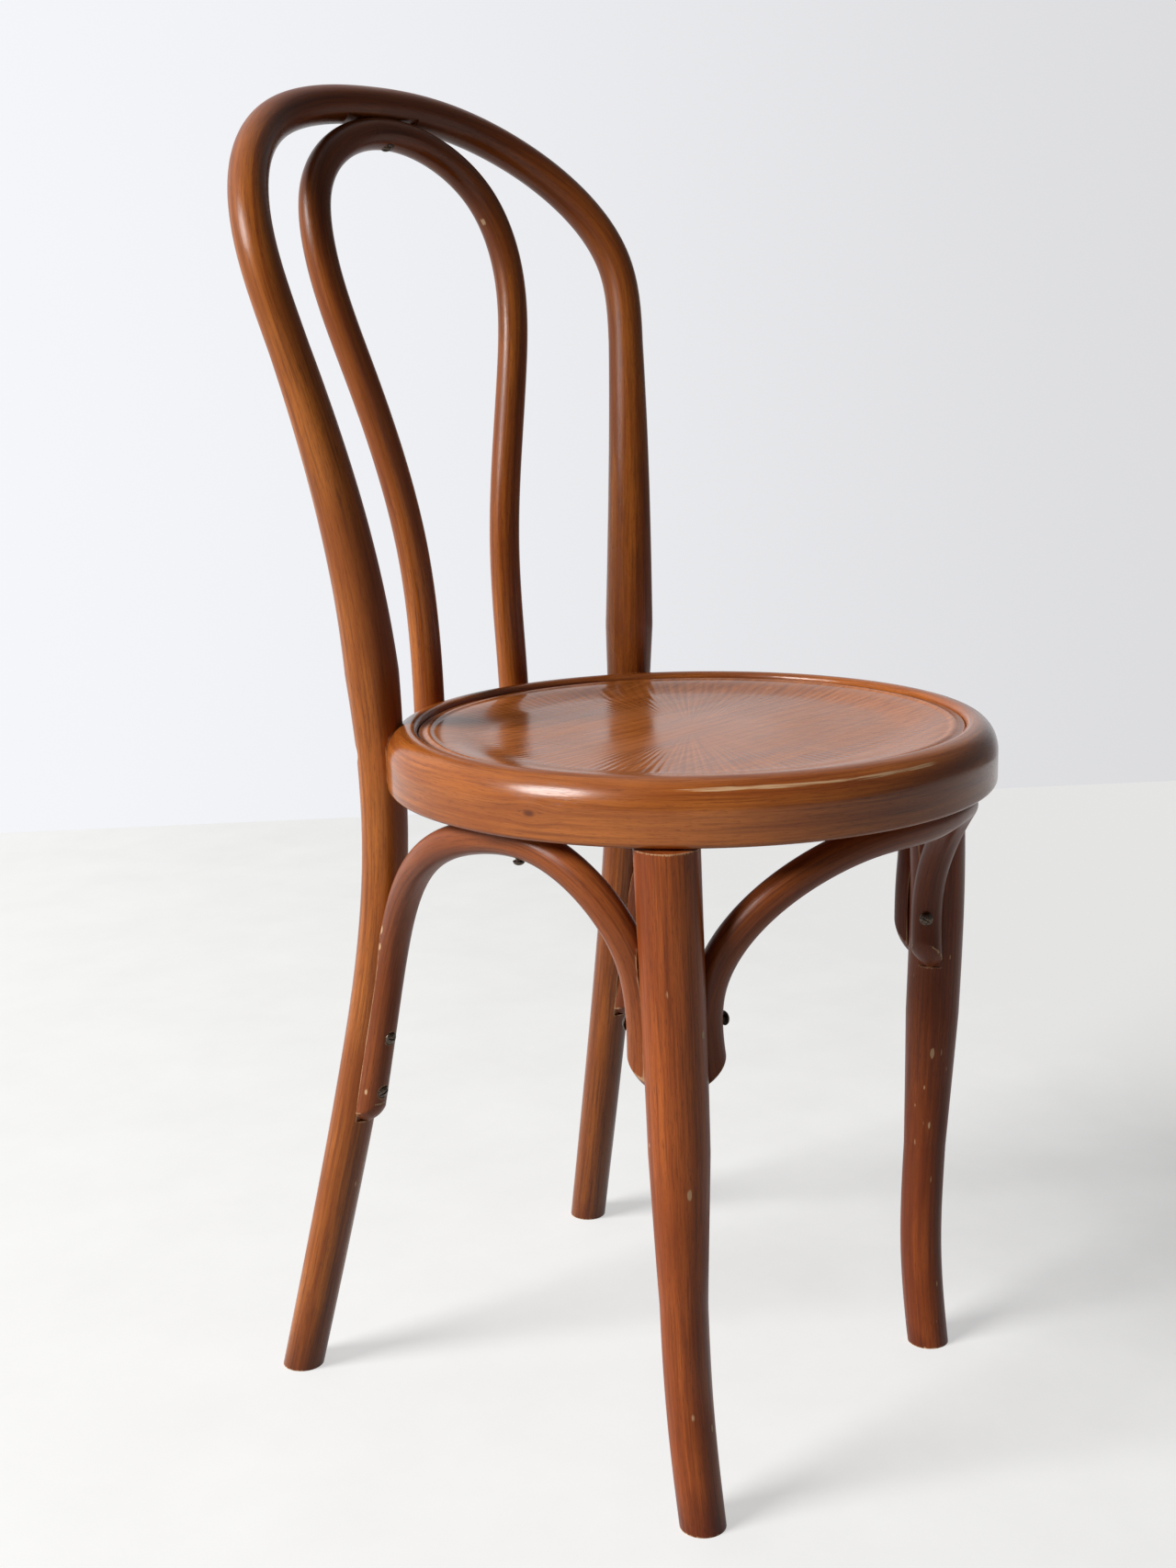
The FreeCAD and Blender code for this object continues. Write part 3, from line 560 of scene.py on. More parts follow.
def spun(name, outline, steps=64, origin=(0, 0, 0), axis=(0, 0, 1)):
    """outline is a list of (radius, height) pairs. It is closed, or starts and ends on the axis."""
    axis = unit(axis)
    askew = (0.31, 0.95, 0.12)
    side = unit(np.cross(axis, askew))
    beside = np.cross(axis, side)
    angles = np.arange(steps) * 2 * math.pi / steps
    spokes = side[None] * np.cos(angles)[:, None] + beside[None] * np.sin(angles)[:, None]
    points, rings, faces = [], [], []
    least = 0.01
    for radius, height in outline:
        first = len(points)
        centre = np.array(origin) + axis * height
        points += [centre] if radius < least else list(centre + spokes * radius)
        rings.append([first] * steps if radius < least else list(range(first, first + steps)))
    pairs = list(zip(rings, rings[1:]))
    if outline[0][0] > least:
        pairs.append((rings[-1], rings[0]))
    for low, high in pairs:
        for i in range(steps):
            j = (i + 1) % steps
            face = list(dict.fromkeys([low[i], low[j], high[j], high[i]]))
            if len(face) > 2:
                faces.append(face)
    return new_piece(name, points, faces)


def arc_points(centre, radius_r, radius_z, start, end, count):
    angles = np.radians(np.linspace(start, end, count))
    return [(centre[0] + radius_r * math.cos(a), centre[1] + radius_z * math.sin(a)) for a in angles]


# %% Square and round cutters
def block(origin, axes, low, high):
    """A box with its own directions."""
    corners = [(x, y, z) for x in (low[0], high[0]) for y in (low[1], high[1]) for z in (low[2], high[2])]
    origin, axes = np.array(origin), np.array(axes, float)
    points = [origin + sum(axis * share for axis, share in zip(axes, corner)) for corner in corners]
    faces = [(0, 1, 3, 2), (4, 6, 7, 5), (0, 4, 5, 1), (2, 3, 7, 6), (0, 2, 6, 4), (1, 5, 7, 3)]
    return new_piece("cutter", points, faces)


upright = np.eye(3)
far = 600.0


def above(height):
    return block((0, 0, height), upright, (-far, -far, 0), (far, far, far))


def below(height):
    return block((0, 0, height), upright, (-far, -far, -far), (far, far, 0))


def spot_face(seat, outward, head_diameter, room=0.2):
    """The round recess that a screw's or bolt's head sits in."""
    radius = head_diameter / 2 + room
    outline = [(0, 0), (radius, 0), (radius, head_diameter), (0, head_diameter)]
    return spun("cutter", outline, 48, seat, outward)


def spot_faces(seat, outward, head_diameter):
    """One on each side of the chair."""
    return [spot_face(side(seat), side(outward), head_diameter) for side in (np.array, flip)]


def peg(name, place, room=0.0):
    """A front leg's tenon, or its mortise with some room."""
    radius, top = tenon_radius + room, tenon_reach + room
    return spun(name, [(0, -tenon_reach), (radius, -tenon_reach), (radius, top), (0, top)], 48, place)


# %% Take cutters away from a piece
def cut(piece, cutters, way="DIFFERENCE"):
    for cutter in cutters:
        knife = piece.modifiers.new("Cut", "BOOLEAN")
        knife.operation, knife.solver, knife.object = way, "MANIFOLD", cutter
    baked(piece)
    for cutter in cutters:
        bpy.data.objects.remove(cutter)
    return piece


# %% [markdown]
# ## The seat ring
# One strip of beech, bent round and scarfed at the back. Its outer top edge is a wide soft round, its
# lower edge is nearly sharp, and inside it has a rolled lip, a rebate for the panel and a plain bore.
# It could be a ring with bevelled edges, but a spun outline gives each edge the round it really has.

# %% The ring's outline, from the lip outwards and round
ledge = seat_height - lip_drop - panel_thickness
shoulder = seat_height - shoulder_drop
foot_round = 3.0
bore_round = 1.2
lip_width = 4.5
ring_outline = arc_points((crown_radius, shoulder), shoulder_width, shoulder_drop, 90, 0, 26)
ring_outline += [(seat_radius, shoulder - 4 * (i + 1)) for i in range(3)]
foot_centre = (seat_radius - foot_round, ring_bottom + foot_round)
ring_outline += arc_points(foot_centre, foot_round, foot_round, 0, -90, 7)
ring_outline += [(radius, ring_bottom) for radius in (seat_radius - 12, ring_inner + 14, ring_inner + 4)]
bore_centre = (ring_inner + bore_round, ring_bottom + bore_round)
ring_outline += arc_points(bore_centre, bore_round, bore_round, -90, -180, 4)
ring_outline += [(ring_inner, ring_bottom + 6 + 5.5 * i) for i in range(4)]
ring_outline += [(ring_inner, ledge - 0.8), (ring_inner + 0.8, ledge), (panel_radius - 8, ledge)]
ring_outline += [(panel_radius, ledge), (panel_radius, seat_height - lip_drop - 0.6)]
ring_outline += arc_points((crown_radius, seat_height - lip_drop), lip_width, lip_drop, 172, 96, 9)
seat_ring = spun("seat_ring_wood", ring_outline, 420)
print("ring faces:", len(seat_ring.data.polygons))


# %% The ring's outer form, grown a little, to scribe the rods to it
def ring_form(grow=0.2):
    outer, top, bottom = seat_radius + grow, seat_height + grow, ring_bottom - grow
    rounding = arc_points((crown_radius, shoulder), shoulder_width + grow, shoulder_drop + grow, 0, 90, 26)
    foot = arc_points((outer - foot_round, bottom + foot_round), foot_round, foot_round, -90, 0, 7)
    return spun("cutter", [(0, bottom)] + foot + rounding + [(0, top)], 360)


# %% [markdown]
# ## The pressed panel
# The panel is plywood that was pressed hot: flat at its border, then a bead, then a shallow dish. Fine
# rays were pressed into it, out from the middle like a sunburst. That is a shape with a rule, so a
# geometry tree presses the rays into the plain dish: it reads each point's angle and distance.

# %% The panel's outline, over the top and back underneath
panel_edge = panel_radius - 0.35
bead_width, bead_height = 6.0, 1.0
bead_outer = panel_edge - 4.0
bead_inner = bead_outer - bead_width
dish_reach, dish_depth = 36.0, 4.5
dish_end = bead_inner - dish_reach
border_end = ring_inner - 0.3
panel_top, panel_low = ledge + panel_thickness, ledge + panel_thickness - dish_depth


def ease(share):
    return share * share * (3 - 2 * share)


panel_outline = [(panel_edge, ledge), (panel_edge, panel_top - 0.7), (panel_edge - 0.7, panel_top)]
panel_outline += [(panel_edge - 2.4, panel_top), (bead_outer, panel_top)]
for share in np.linspace(1 / 8, 1, 8):
    rise = bead_height * math.sin(math.pi * share)
    panel_outline.append((bead_outer - bead_width * share, panel_top + rise))
for share in np.linspace(1 / 24, 1, 24):
    panel_outline.append((bead_inner - dish_reach * share, panel_top - dish_depth * ease(share)))
panel_outline += [(radius, panel_low) for radius in np.linspace(dish_end - 5, 5, 24)]
panel_outline += [(0, panel_low), (0, panel_low - panel_thickness)]
panel_outline += [(radius, panel_low - panel_thickness) for radius in (40, 90, dish_end)]
for share in np.linspace(0.1, 1, 10):
    under = panel_low - panel_thickness + dish_depth * ease(share)
    panel_outline.append((dish_end + (border_end - dish_end) * share, under))
panel_blank = spun("panel_blank", panel_outline, 576)


# %% The tree that presses rays into the dish
def pressed_rays_tree():
    w, start, end = new_tree(
        "Pressed rays", "GeometryNodeTree",
        [("Panel", "Geometry", None), ("Middle", "Vector", (0, 0, 0)),
         ("Rays", "Float", ray_count), ("Depth", "Float", 0.0002),
         ("Inner radius", "Float", ray_inner), ("Outer radius", "Float", ray_outer),
         ("Lowest", "Float", 0.45), ("Finish", "Material", None)],
        [("Pressed", "Geometry")])
    here = w.node("GeometryNodeInputPosition").outputs[0]
    x, y, _ = w.split(w.vector_maths("SUBTRACT", here, start["Middle"]))
    height = w.split(here)[2]
    radius = w.from_middle(x, y)
    wave = w.maths("COSINE", w.times(w.maths("ARCTAN2", y, x), start["Rays"]))
    ramp_in = w.range(radius, start["Inner radius"], w.times(start["Inner radius"], 3.0))
    fade_from = w.minus(start["Outer radius"], 0.02)
    ramp_out = w.range(radius, fade_from, start["Outer radius"], 1.0, 0.0)
    on_top = w.maths("GREATER_THAN", height, start["Lowest"])
    share = w.times(w.times(ramp_in, ramp_out), on_top)
    drop = w.times(w.times(w.minus(wave, 1.0), 0.5), start["Depth"])
    offset = w.vector(z=w.times(drop, share))
    pressed = w.node("GeometryNodeSetPosition", Geometry=start["Panel"], Offset=offset)
    w.put(end, "Pressed", w.dress(pressed.outputs[0], start["Finish"]))
    return w.tree


pressed_rays = pressed_rays_tree()
rays = {"Middle": placed((0, 0, 0)).tolist(), "Lowest": (panel_low - 1.0) * mm, "Finish": panel_finish}
seat_panel = grown("seat_panel_veneer", panel_blank.data, pressed_rays, **rays)
bpy.data.objects.remove(panel_blank)
print("panel faces:", len(seat_panel.data.polygons))

# %% [markdown]
# ## The two hoops' lines
# The back hoop is one rod, thickest just above the seat and thinner at the feet and in the bow. The
# inner hoop is shaped like a keyhole: its ends run down behind the ring, and its crown is tucked
# under the bow. Both are drawn as a few points on the left half and mirrored, as their bending forms
# are alike on both sides.

# %% The back hoop's points
hoop_angle = 50.8
hoop_gap = 5.6
hoop_foot_diameter = 27.8
hoop_joint_diameter = 30.6
joint = polar(seat_radius + hoop_gap, hoop_angle, ring_middle)
rear_foot = joint * (1, 1, 0) + (28.8, 77.9, 0)
rear_shin = np.array([joint[0] + 7.4, joint[1] + 28.4, seat_height * 0.462])
crown = np.array([0, crown_depth, seat_height + 396.7])
below_foot = rear_foot + (rear_foot - rear_shin) * (hoop_foot_diameter / (2 * rear_shin[2]))
seat_line = np.array([joint[0], joint[1], seat_height])
bow = [(6.2, 2.3, 65.0), (35.7, 25.7, 235.0), (42.9, 41.9, 293.4), (-33.9, 102.9, 382.7)]
hoop_half = [below_foot, rear_shin, joint + (-2.0, 1.4, -57.7), joint]
hoop_half += [seat_line + offset for offset in bow]
hoop_points = hoop_half + [crown] + [flip(p) for p in hoop_half[::-1]]
hoop_sizes = [(0, hoop_foot_diameter), (rear_shin[2], 29.2), (ring_middle, hoop_joint_diameter),
              (497.5, 34.6), (597.2, 30.2), (700, bow_diameter)]


def hoop_diameter(point):
    return float(np.interp(point[2], *zip(*hoop_sizes)))


# %% The inner hoop's points and the plane where the two hoops meet
lean = math.radians(24)
crown_flat = 2.4
crown_down = np.array([0, -math.sin(lean), -math.cos(lean)])
inner_crown = crown + crown_down * ((bow_diameter + inner_diameter) / 2 - crown_flat)
hook_angle = 77.4
hook_gap = 3.2
inner_joint = polar(seat_radius + hook_gap, hook_angle, ring_middle)
inner_foot = inner_joint * (1, 1, 0) + (0, 0, ring_bottom - inner_diameter)
inner_half = [inner_foot, inner_joint, inner_joint + (1.9, 6.8, 114.0)]
inner_half += [np.array([wide, inner_crown[1] - ahead, inner_crown[2] - down])
               for wide, ahead, down in ((72.5, 45.9, 162.8), (87.0, 25.3, 68.8), (78.5, 16.6, 41.6))]
inner_points = inner_half + [inner_crown] + [flip(p) for p in inner_half[::-1]]
crown_plane = inner_crown - crown_down * (inner_diameter - crown_flat) / 2


def middle_bend(points):
    """How sharply a path bends at its middle, as one over the radius."""
    line, walked = spring_path(points)
    half, step = len(line) // 2, 20
    first, second, third = line[half - step], line[half], line[half + step]
    chord = (walked[half + step] - walked[half - step]) / 2
    return float(np.linalg.norm(first - 2 * second + third)) / chord ** 2


bend_gap = middle_bend(inner_points) - middle_bend(hoop_points)
crown_seat_half = math.sqrt(2 * crown_flat / bend_gap) + brace_radius
crown_axes = [(1, 0, 0), np.cross(-crown_down, (1, 0, 0)), -crown_down]
print("half the notch in the bow:", round(crown_seat_half, 1), "mm")


def crown_block(half, low, high):
    """A block on the plane where the two hoops meet."""
    return block(crown_plane, crown_axes, (-half, -bow_diameter, low), (half, bow_diameter, high))


# %% [markdown]
# ## Laps
# A brace's straight end lies flat on a leg. Both rods lose a little there: the leg gets a flat, the
# brace a flat underneath, and the brace's end is rounded off like a thumb. A lap knows its own
# directions, so the cutters for all of that can be laid on it.

# %% A lap and its cutters
class Lap:
    def __init__(self, tip, top, leg_point, depth, flat_run, tongue_radius):
        self.tip, self.top, self.leg_point = tip, top, leg_point
        self.depth, self.flat_run, self.tongue_radius = depth, flat_run, tongue_radius
        self.length = float(np.linalg.norm(top - tip))
        self.along = (top - tip) / self.length
        away = tip - leg_point
        self.normal = unit(away - self.along * away.dot(self.along))
        self.axes = [self.along, np.cross(self.normal, self.along), self.normal]

    def moved(self, move):
        points = [move(p) for p in (self.tip, self.top, self.leg_point)]
        return Lap(*points, self.depth, self.flat_run, self.tongue_radius)

    def swung(self, degrees):
        return self.moved(lambda p: swung(p, degrees))

    def mirrored(self):
        return self.moved(flip)

    def at(self, distance, height=0.0):
        return self.tip + self.along * distance + self.normal * height

    def slab(self, start, end, low, high):
        wide = 1.5 * brace_diameter
        return block(self.tip, self.axes, (start, -wide, low), (end, wide, high))

    def leg_flat(self):
        return self.slab(0, self.length + self.flat_run, -self.depth - 0.1, brace_diameter)

    def rod_flat(self):
        wide = 2 * brace_diameter
        return self.slab(-wide, self.length + wide, -wide, -self.depth)

    def thumb(self, tip_radius=1.8, clear=40.0):
        """All that lies outside the rounded end: an arc spun about the middle of the flat."""
        full = brace_radius + self.depth
        curve = self.tongue_radius
        length = math.sqrt(curve ** 2 - (curve - full + tip_radius) ** 2)
        outline = [(0, -clear), (clear, -clear), (clear, length)]
        for share in np.linspace(0, 1, 20):
            wide = full - curve + math.sqrt(curve ** 2 - (length * share) ** 2)
            outline.append((wide, length * (1 - share)))
        return spun("cutter", outline + [(0, 0)], 72, self.at(0, -self.depth), self.along)

    def screw_seat(self, distance):
        return self.at(distance, brace_radius - screw_sink), self.normal


# %% The rear lap, and the front legs with their two laps
ring_turn = 2.3
rear_tip_drop, rear_top_drop = 236.1, 118.5
front_tip_drop, front_top_drop = 147.0, 86.5


def rear_leg_at(height):
    return flip(point_at_height(hoop_points, height, 0.25))


rear_tip_leg = rear_leg_at(ring_bottom - rear_tip_drop)
rear_top_leg = rear_leg_at(ring_bottom - rear_top_drop)
rear_lap = Lap(rear_tip_leg + (0, -15.2, 0), rear_top_leg + (-5.0, -17.3, 0), rear_tip_leg,
               depth=3.0, flat_run=12.0, tongue_radius=20.0)
leg_shoulder = ring_bottom - 1.2
leg_top = polar(seat_radius - 13.4, -31.2, leg_shoulder)
sway = ((0.0, 14.5, 9.1), (0.16, 13.6, 1.7), (0.342, 9.1, 0.9), (0.57, 4.2, 2.6), (0.8, 0.1, 2.8))
leg_bends = [leg_top - (inward, forward, leg_shoulder * (1 - share)) for share, inward, forward in sway]
leg_points = [leg_bends[0] + (leg_bends[0] - leg_bends[1]) * 0.2] + leg_bends[1:] + [leg_top]
leg_sizes = [(0, 28.4), (0.342 * leg_shoulder, 28.9), (0.57 * leg_shoulder, 36.2), (leg_shoulder, 38.0)]


def front_lap(angle, offset, depth):
    tip = flip(point_at_height(leg_points, ring_bottom - front_tip_drop))
    top = flip(point_at_height(leg_points, ring_bottom - front_top_drop))
    aside = polar(offset, angle, 0)
    return Lap(tip + aside, top + aside, tip, depth, flat_run=50.0, tongue_radius=40.0)


side_lap = front_lap(96.5, 21.6, 5.2)
arch_lap = front_lap(-17.3, 26.0, 9.4)
print("lengths of the laps:", [round(lap.length, 1) for lap in (rear_lap, side_lap, arch_lap)])

# %% [markdown]
# ## Bend and fit the rods
# Each rod is bent first and cut to fit afterwards, as on the bench: sawn level at the floor, scribed
# to the ring, filed flat where another rod lies on it, and sunk where a screw's head sits. The cuts
# are Boolean modifiers with the Manifold solver, which is quick and exact, because each rod and each
# cutter is a closed shape.

# %% The back hoop
back_hoop, hoop_stick = bend_rod("back_hoop_rod", hoop_points, hoop_diameter, backwards, hoop_finish, 0)
bolt_out = polar(1, 180 - hoop_angle, 0)
bolt_reach = seat_radius + hoop_gap + hoop_joint_diameter / 2 - bolt_sink
bolt_seat = bolt_out * bolt_reach + (0, 0, ring_middle)
hoop_cutters = [below(0), ring_form(), rear_lap.leg_flat(), rear_lap.mirrored().leg_flat()]
hoop_cutters += spot_faces(bolt_seat, bolt_out, bolt_head)
hoop_cutters.append(crown_block(crown_seat_half, -bow_diameter / 2, 0))
cut(back_hoop, hoop_cutters)
print("hoop faces:", len(back_hoop.data.polygons))

# %% The inner hoop
inner_hoop, inner_stick = bend_rod(
    "inner_hoop_rod", inner_points, lambda _: inner_diameter, backwards, hoop_finish, 1, 2.0)
hook_out = polar(1, 180 - hook_angle, 0)
hook_reach = seat_radius + hook_gap + inner_diameter / 2 - screw_sink
hook_seat = hook_out * hook_reach + (0, 0, ring_middle)
crown_seat = inner_crown + crown_down * (inner_diameter / 2 - screw_sink)
inner_cutters = [below(ring_bottom), ring_form()]
inner_cutters.append(crown_block(crown_seat_half + inner_diameter, 0, inner_diameter))
inner_cutters += spot_faces(hook_seat, hook_out, screw_head)
inner_cutters.append(spot_face(crown_seat, crown_down, screw_head))
cut(inner_hoop, inner_cutters)


# %% The front legs, each with its tenon
def leg_diameter(point):
    return float(np.interp(point[2], *zip(*leg_sizes)))


def front_leg(name, points, laps, number):
    points = [swung(p, ring_turn) for p in points]
    leg, stick = bend_rod(name, points, leg_diameter, outwards, leg_finish, number, 2.2)
    cut(leg, [below(0), above(leg_shoulder)] + [lap.leg_flat() for lap in laps])
    cut(leg, [peg("tenon", points[-1])], "UNION")
    return leg, stick


right_laps = [lap.swung(ring_turn) for lap in (side_lap, arch_lap)]
left_laps = [lap.mirrored().swung(ring_turn) for lap in (side_lap, arch_lap)]
mirrored_points = [flip(p) for p in leg_points]
front_leg_right, right_leg_stick = front_leg("front_leg_right_rod", mirrored_points, right_laps, 2)
front_leg_left, left_leg_stick = front_leg("front_leg_left_rod", leg_points, left_laps, 3)

# %% The arches' lines
arch_height = ring_bottom - brace_radius + 0.9
side_reach = seat_radius - 20.0


def side_arch_points(turn):
    """The right arch, from the rear leg over to a front leg that is swung so far."""
    front = side_lap.swung(turn)
    return [rear_lap.tip, rear_lap.at(rear_lap.length / 2), rear_lap.top,
            polar(seat_radius - 15.5, 180 - 26.8, ring_bottom - 32.2),
            polar(side_reach, 180 - 7.8, arch_height), polar(side_reach, 180 + 7.8, arch_height),
            polar(seat_radius - 16.4, 180 + 24.3 + turn, ring_bottom - 66.3), front.top, front.tip]


front_reach = seat_radius - 20.6
front_half = [arch_lap.tip, arch_lap.top, polar(seat_radius - 25.7, 270 - 44.0, ring_bottom - 49.6),
              polar(front_reach, 270 - 17.5, arch_height)]
front_points = front_half + [polar(front_reach, 270, arch_height)] + [flip(p) for p in front_half[::-1]]

# %% Where the arches are screwed to the ring
screw_aside = 9.0
screw_turn = math.degrees(math.asin(screw_aside / side_reach))
down = np.array([0, 0, -1.0])
side_seat = polar(side_reach, 180 + screw_turn, arch_height - brace_radius + screw_sink)
front_seat = swung(polar(front_reach, 270, arch_height - brace_radius + 3.6), ring_turn)


# %% Bend and fit the arches
def arch(name, points, laps, screws, ring_seat, number):
    rod, stick = bend_rod(name, points, lambda _: brace_diameter, outwards, arch_finish, number, 2.0)
    cutters = [above(ring_bottom)] + [lap.rod_flat() for lap in laps] + [lap.thumb() for lap in laps]
    cutters += [spot_face(seat, outward, screw_head) for seat, outward in screws]
    cutters.append(spot_face(ring_seat, down, ring_screw_head))
    return cut(rod, cutters), stick


left_rear_lap = rear_lap.mirrored()
rear_places = (27.0, 66.7)
front_place = 38.0
right_screws = [rear_lap.screw_seat(d) for d in rear_places] + [right_laps[0].screw_seat(front_place)]
left_screws = [left_rear_lap.screw_seat(d) for d in rear_places] + [left_laps[0].screw_seat(front_place)]
front_screws = [laps[1].screw_seat(front_place) for laps in (right_laps, left_laps)]
brace_right, right_stick = arch(
    "brace_right_rod", side_arch_points(ring_turn), (rear_lap, right_laps[0]), right_screws, side_seat, 4)
brace_left, left_stick = arch(
    "brace_left_rod", [flip(p) for p in side_arch_points(-ring_turn)], (left_rear_lap, left_laps[0]),
    left_screws, flip(side_seat), 5)
brace_front, front_stick = arch(
    "brace_front_rod", [swung(p, ring_turn) for p in front_points], (right_laps[1], left_laps[1]),
    front_screws, front_seat, 6)
print("arches:", [len(p.data.polygons) for p in (brace_right, brace_left, brace_front)])

# %% The ring's mortises and the spot faces for its washers
ring_cutters = [peg("cutter", swung(top, ring_turn), tenon_room) for top in (leg_top, flip(leg_top))]
washer_seat = bolt_out * (ring_inner + 1.0) + (0, 0, ring_middle)
ring_cutters += spot_faces(washer_seat, -bolt_out, washer_diameter)
cut(seat_ring, ring_cutters)

# %% [markdown]
# ## Clean edges and two records
# A cut leaves long faces. They are split, so that every stretch of an edge has points near it. Two
# records are then written on the points. `grain` says where in the straight stick a point once lay,
# which also puts end grain where a rod was sawn. The other is one on a sharp outer edge and falls to
# nothing a few millimetres away: it marks rubbed wear, and its pale line is also a painted highlight
# on the unrounded edges. The hoops above the seat keep their lacquer, so it is nought there.
# A Bevel node could look for edges too, but only in one renderer, and a record goes with the mesh.


# %% Split long faces, ease the sawn feet, turn faces outwards
def tidy(piece, longest=3.4, sharp_angle=34, ease_feet=False):
    work = bmesh.new()
    work.from_mesh(piece.data)
    bmesh.ops.remove_doubles(work, verts=work.verts, dist=0.01 * mm)
    bmesh.ops.dissolve_degenerate(work, edges=work.edges, dist=0.01 * mm)
    if ease_feet:
        rim = [e for e in work.edges if e.is_manifold and e.calc_face_angle() > 1.0
               and max(abs(v.co.z) for v in e.verts) < 0.02 * mm]
        bmesh.ops.bevel(work, geom=rim, offset=0.9 * mm, segments=2, affect="EDGES", clamp_overlap=True)
    for _ in range(6):
        bmesh.ops.triangulate(work, faces=[f for f in work.faces if len(f.verts) > 4])
        long_edges = [e for e in work.edges if e.calc_length() > longest * mm]
        if not long_edges:
            break
        bmesh.ops.subdivide_edges(work, edges=long_edges, cuts=1)
    bmesh.ops.triangulate(work, faces=[f for f in work.faces if len(f.verts) > 4])
    bmesh.ops.recalc_face_normals(work, faces=work.faces)
    work.to_mesh(piece.data)
    work.free()
    piece.data.shade_smooth()
    piece.data.set_sharp_from_angle(angle=math.radians(sharp_angle))


# %% Work out the grain and the wear of each point
stick_spacing = 3700.0
worn_below = 520.0
sharp_bend = 0.55


def local_points(piece):
    flat = np.zeros(len(piece.data.vertices) * 3, np.float32)
    piece.data.vertices.foreach_get("co", flat)
    return flat.reshape(-1, 3) / mm - slide_back


def stick_grain(piece, stick):
    points = local_points(piece)
    nearest = np.empty(len(points), int)
    for first in range(0, len(points), 4000):
        gaps = ((points[first:first + 4000, None] - stick["centres"][None]) ** 2).sum(2)
        nearest[first:first + 4000] = gaps.argmin(1)
    away = points - stick["centres"][nearest]
    place = [(away * stick[way][nearest]).sum(1) for way in ("along", "side", "beside")]
    place[0] = place[0] + stick["marks"][nearest] + stick_spacing * stick["number"]
    return np.stack(place, 1) * mm


# Rubbed wear on sharp edges. Its pale line also stands in for the edges' highlight, as a painted highlight.
def edge_wear_and_highlight(piece, reach=2.6):
    work = bmesh.new()
    work.from_mesh(piece.data)
    sharp = [e for e in work.edges if e.is_manifold and e.is_convex and e.calc_face_angle() > sharp_bend]
    places = [v.co for e in sharp for v in e.verts]
    places += [(e.verts[0].co + e.verts[1].co) / 2 for e in sharp]
    finder = KDTree(len(places))
    for index, place in enumerate(places):
        finder.insert(place, index)
    finder.balance()
    wear_and_edge_highlight = np.zeros(len(work.verts), np.float32)
    if places:
        wear_and_edge_highlight[:] = [max(0.0, 1 - finder.find(v.co)[2] / (reach * mm)) for v in work.verts]
    work.free()
    return np.where(local_points(piece)[:, 2] > worn_below, 0, wear_and_edge_highlight)


rods = [(back_hoop, hoop_stick), (inner_hoop, inner_stick), (front_leg_right, right_leg_stick),
        (front_leg_left, left_leg_stick), (brace_right, right_stick), (brace_left, left_stick),
        (brace_front, front_stick)]
for rod, stick in rods:
    tidy(rod, ease_feet=rod in (back_hoop, front_leg_right, front_leg_left))
    write_record(rod.data, "grain", stick_grain(rod, stick))
    write_record(rod.data, "wear_and_edge_highlight", edge_wear_and_highlight(rod))
print("triangles in the rods:", sum(len(p.vertices) - 2 for rod, _ in rods for p in rod.data.polygons))

# %% The ring's record follows its bend, and its front edge has lost lacquer
tidy(seat_ring, 4.2, 40)
ring_points = local_points(seat_ring)
ring_radius = np.hypot(ring_points[:, 0], ring_points[:, 1])
ring_angle = np.degrees(np.arctan2(ring_points[:, 1], ring_points[:, 0]))
bend_share = np.radians((ring_angle - scarf_angle) % 360)
ring_along = bend_share * seat_radius + ring_start
ring_record = [ring_along, ring_radius - panel_radius, ring_points[:, 2] - ring_middle]
write_record(seat_ring.data, "grain", np.stack(ring_record, 1) * mm)
worn_from, worn_to = -152, -88
worn_radius, worn_width = 189.4, 1.3
worn_front = np.clip((ring_angle - worn_from) / 10, 0, 1) * np.clip((worn_to - ring_angle) / 8, 0, 1)
worn_band = np.exp(-((ring_radius - worn_radius) / worn_width) ** 2) * (ring_points[:, 2] > shoulder)
# The sharp edges' wear is also a painted highlight. The worn band at the front is real lost lacquer.
write_record(seat_ring.data, "wear_and_edge_highlight", np.maximum(edge_wear_and_highlight(seat_ring, 1.6) * 0.6, worn_front * worn_band))

# %% The panel's record is its place round the seat's middle
tidy(seat_panel, 8.0, 40)
write_record(seat_panel.data, "grain", (local_points(seat_panel) - (0, 0, ledge)) * mm)

# %% [markdown]
# ## Screws, made with Geometry Nodes
# The arches are held by domed wood screws. One screw is a slice of a ball with a slot across it and a
# plain shank, and the node tree sets a copy on every point of a small mesh of places. Each place
# carries two attributes: the way the screw is driven, and how far its slot happens to be turned.
# Copies by hand would do for so few, but with the tree one named size changes all of them at once.

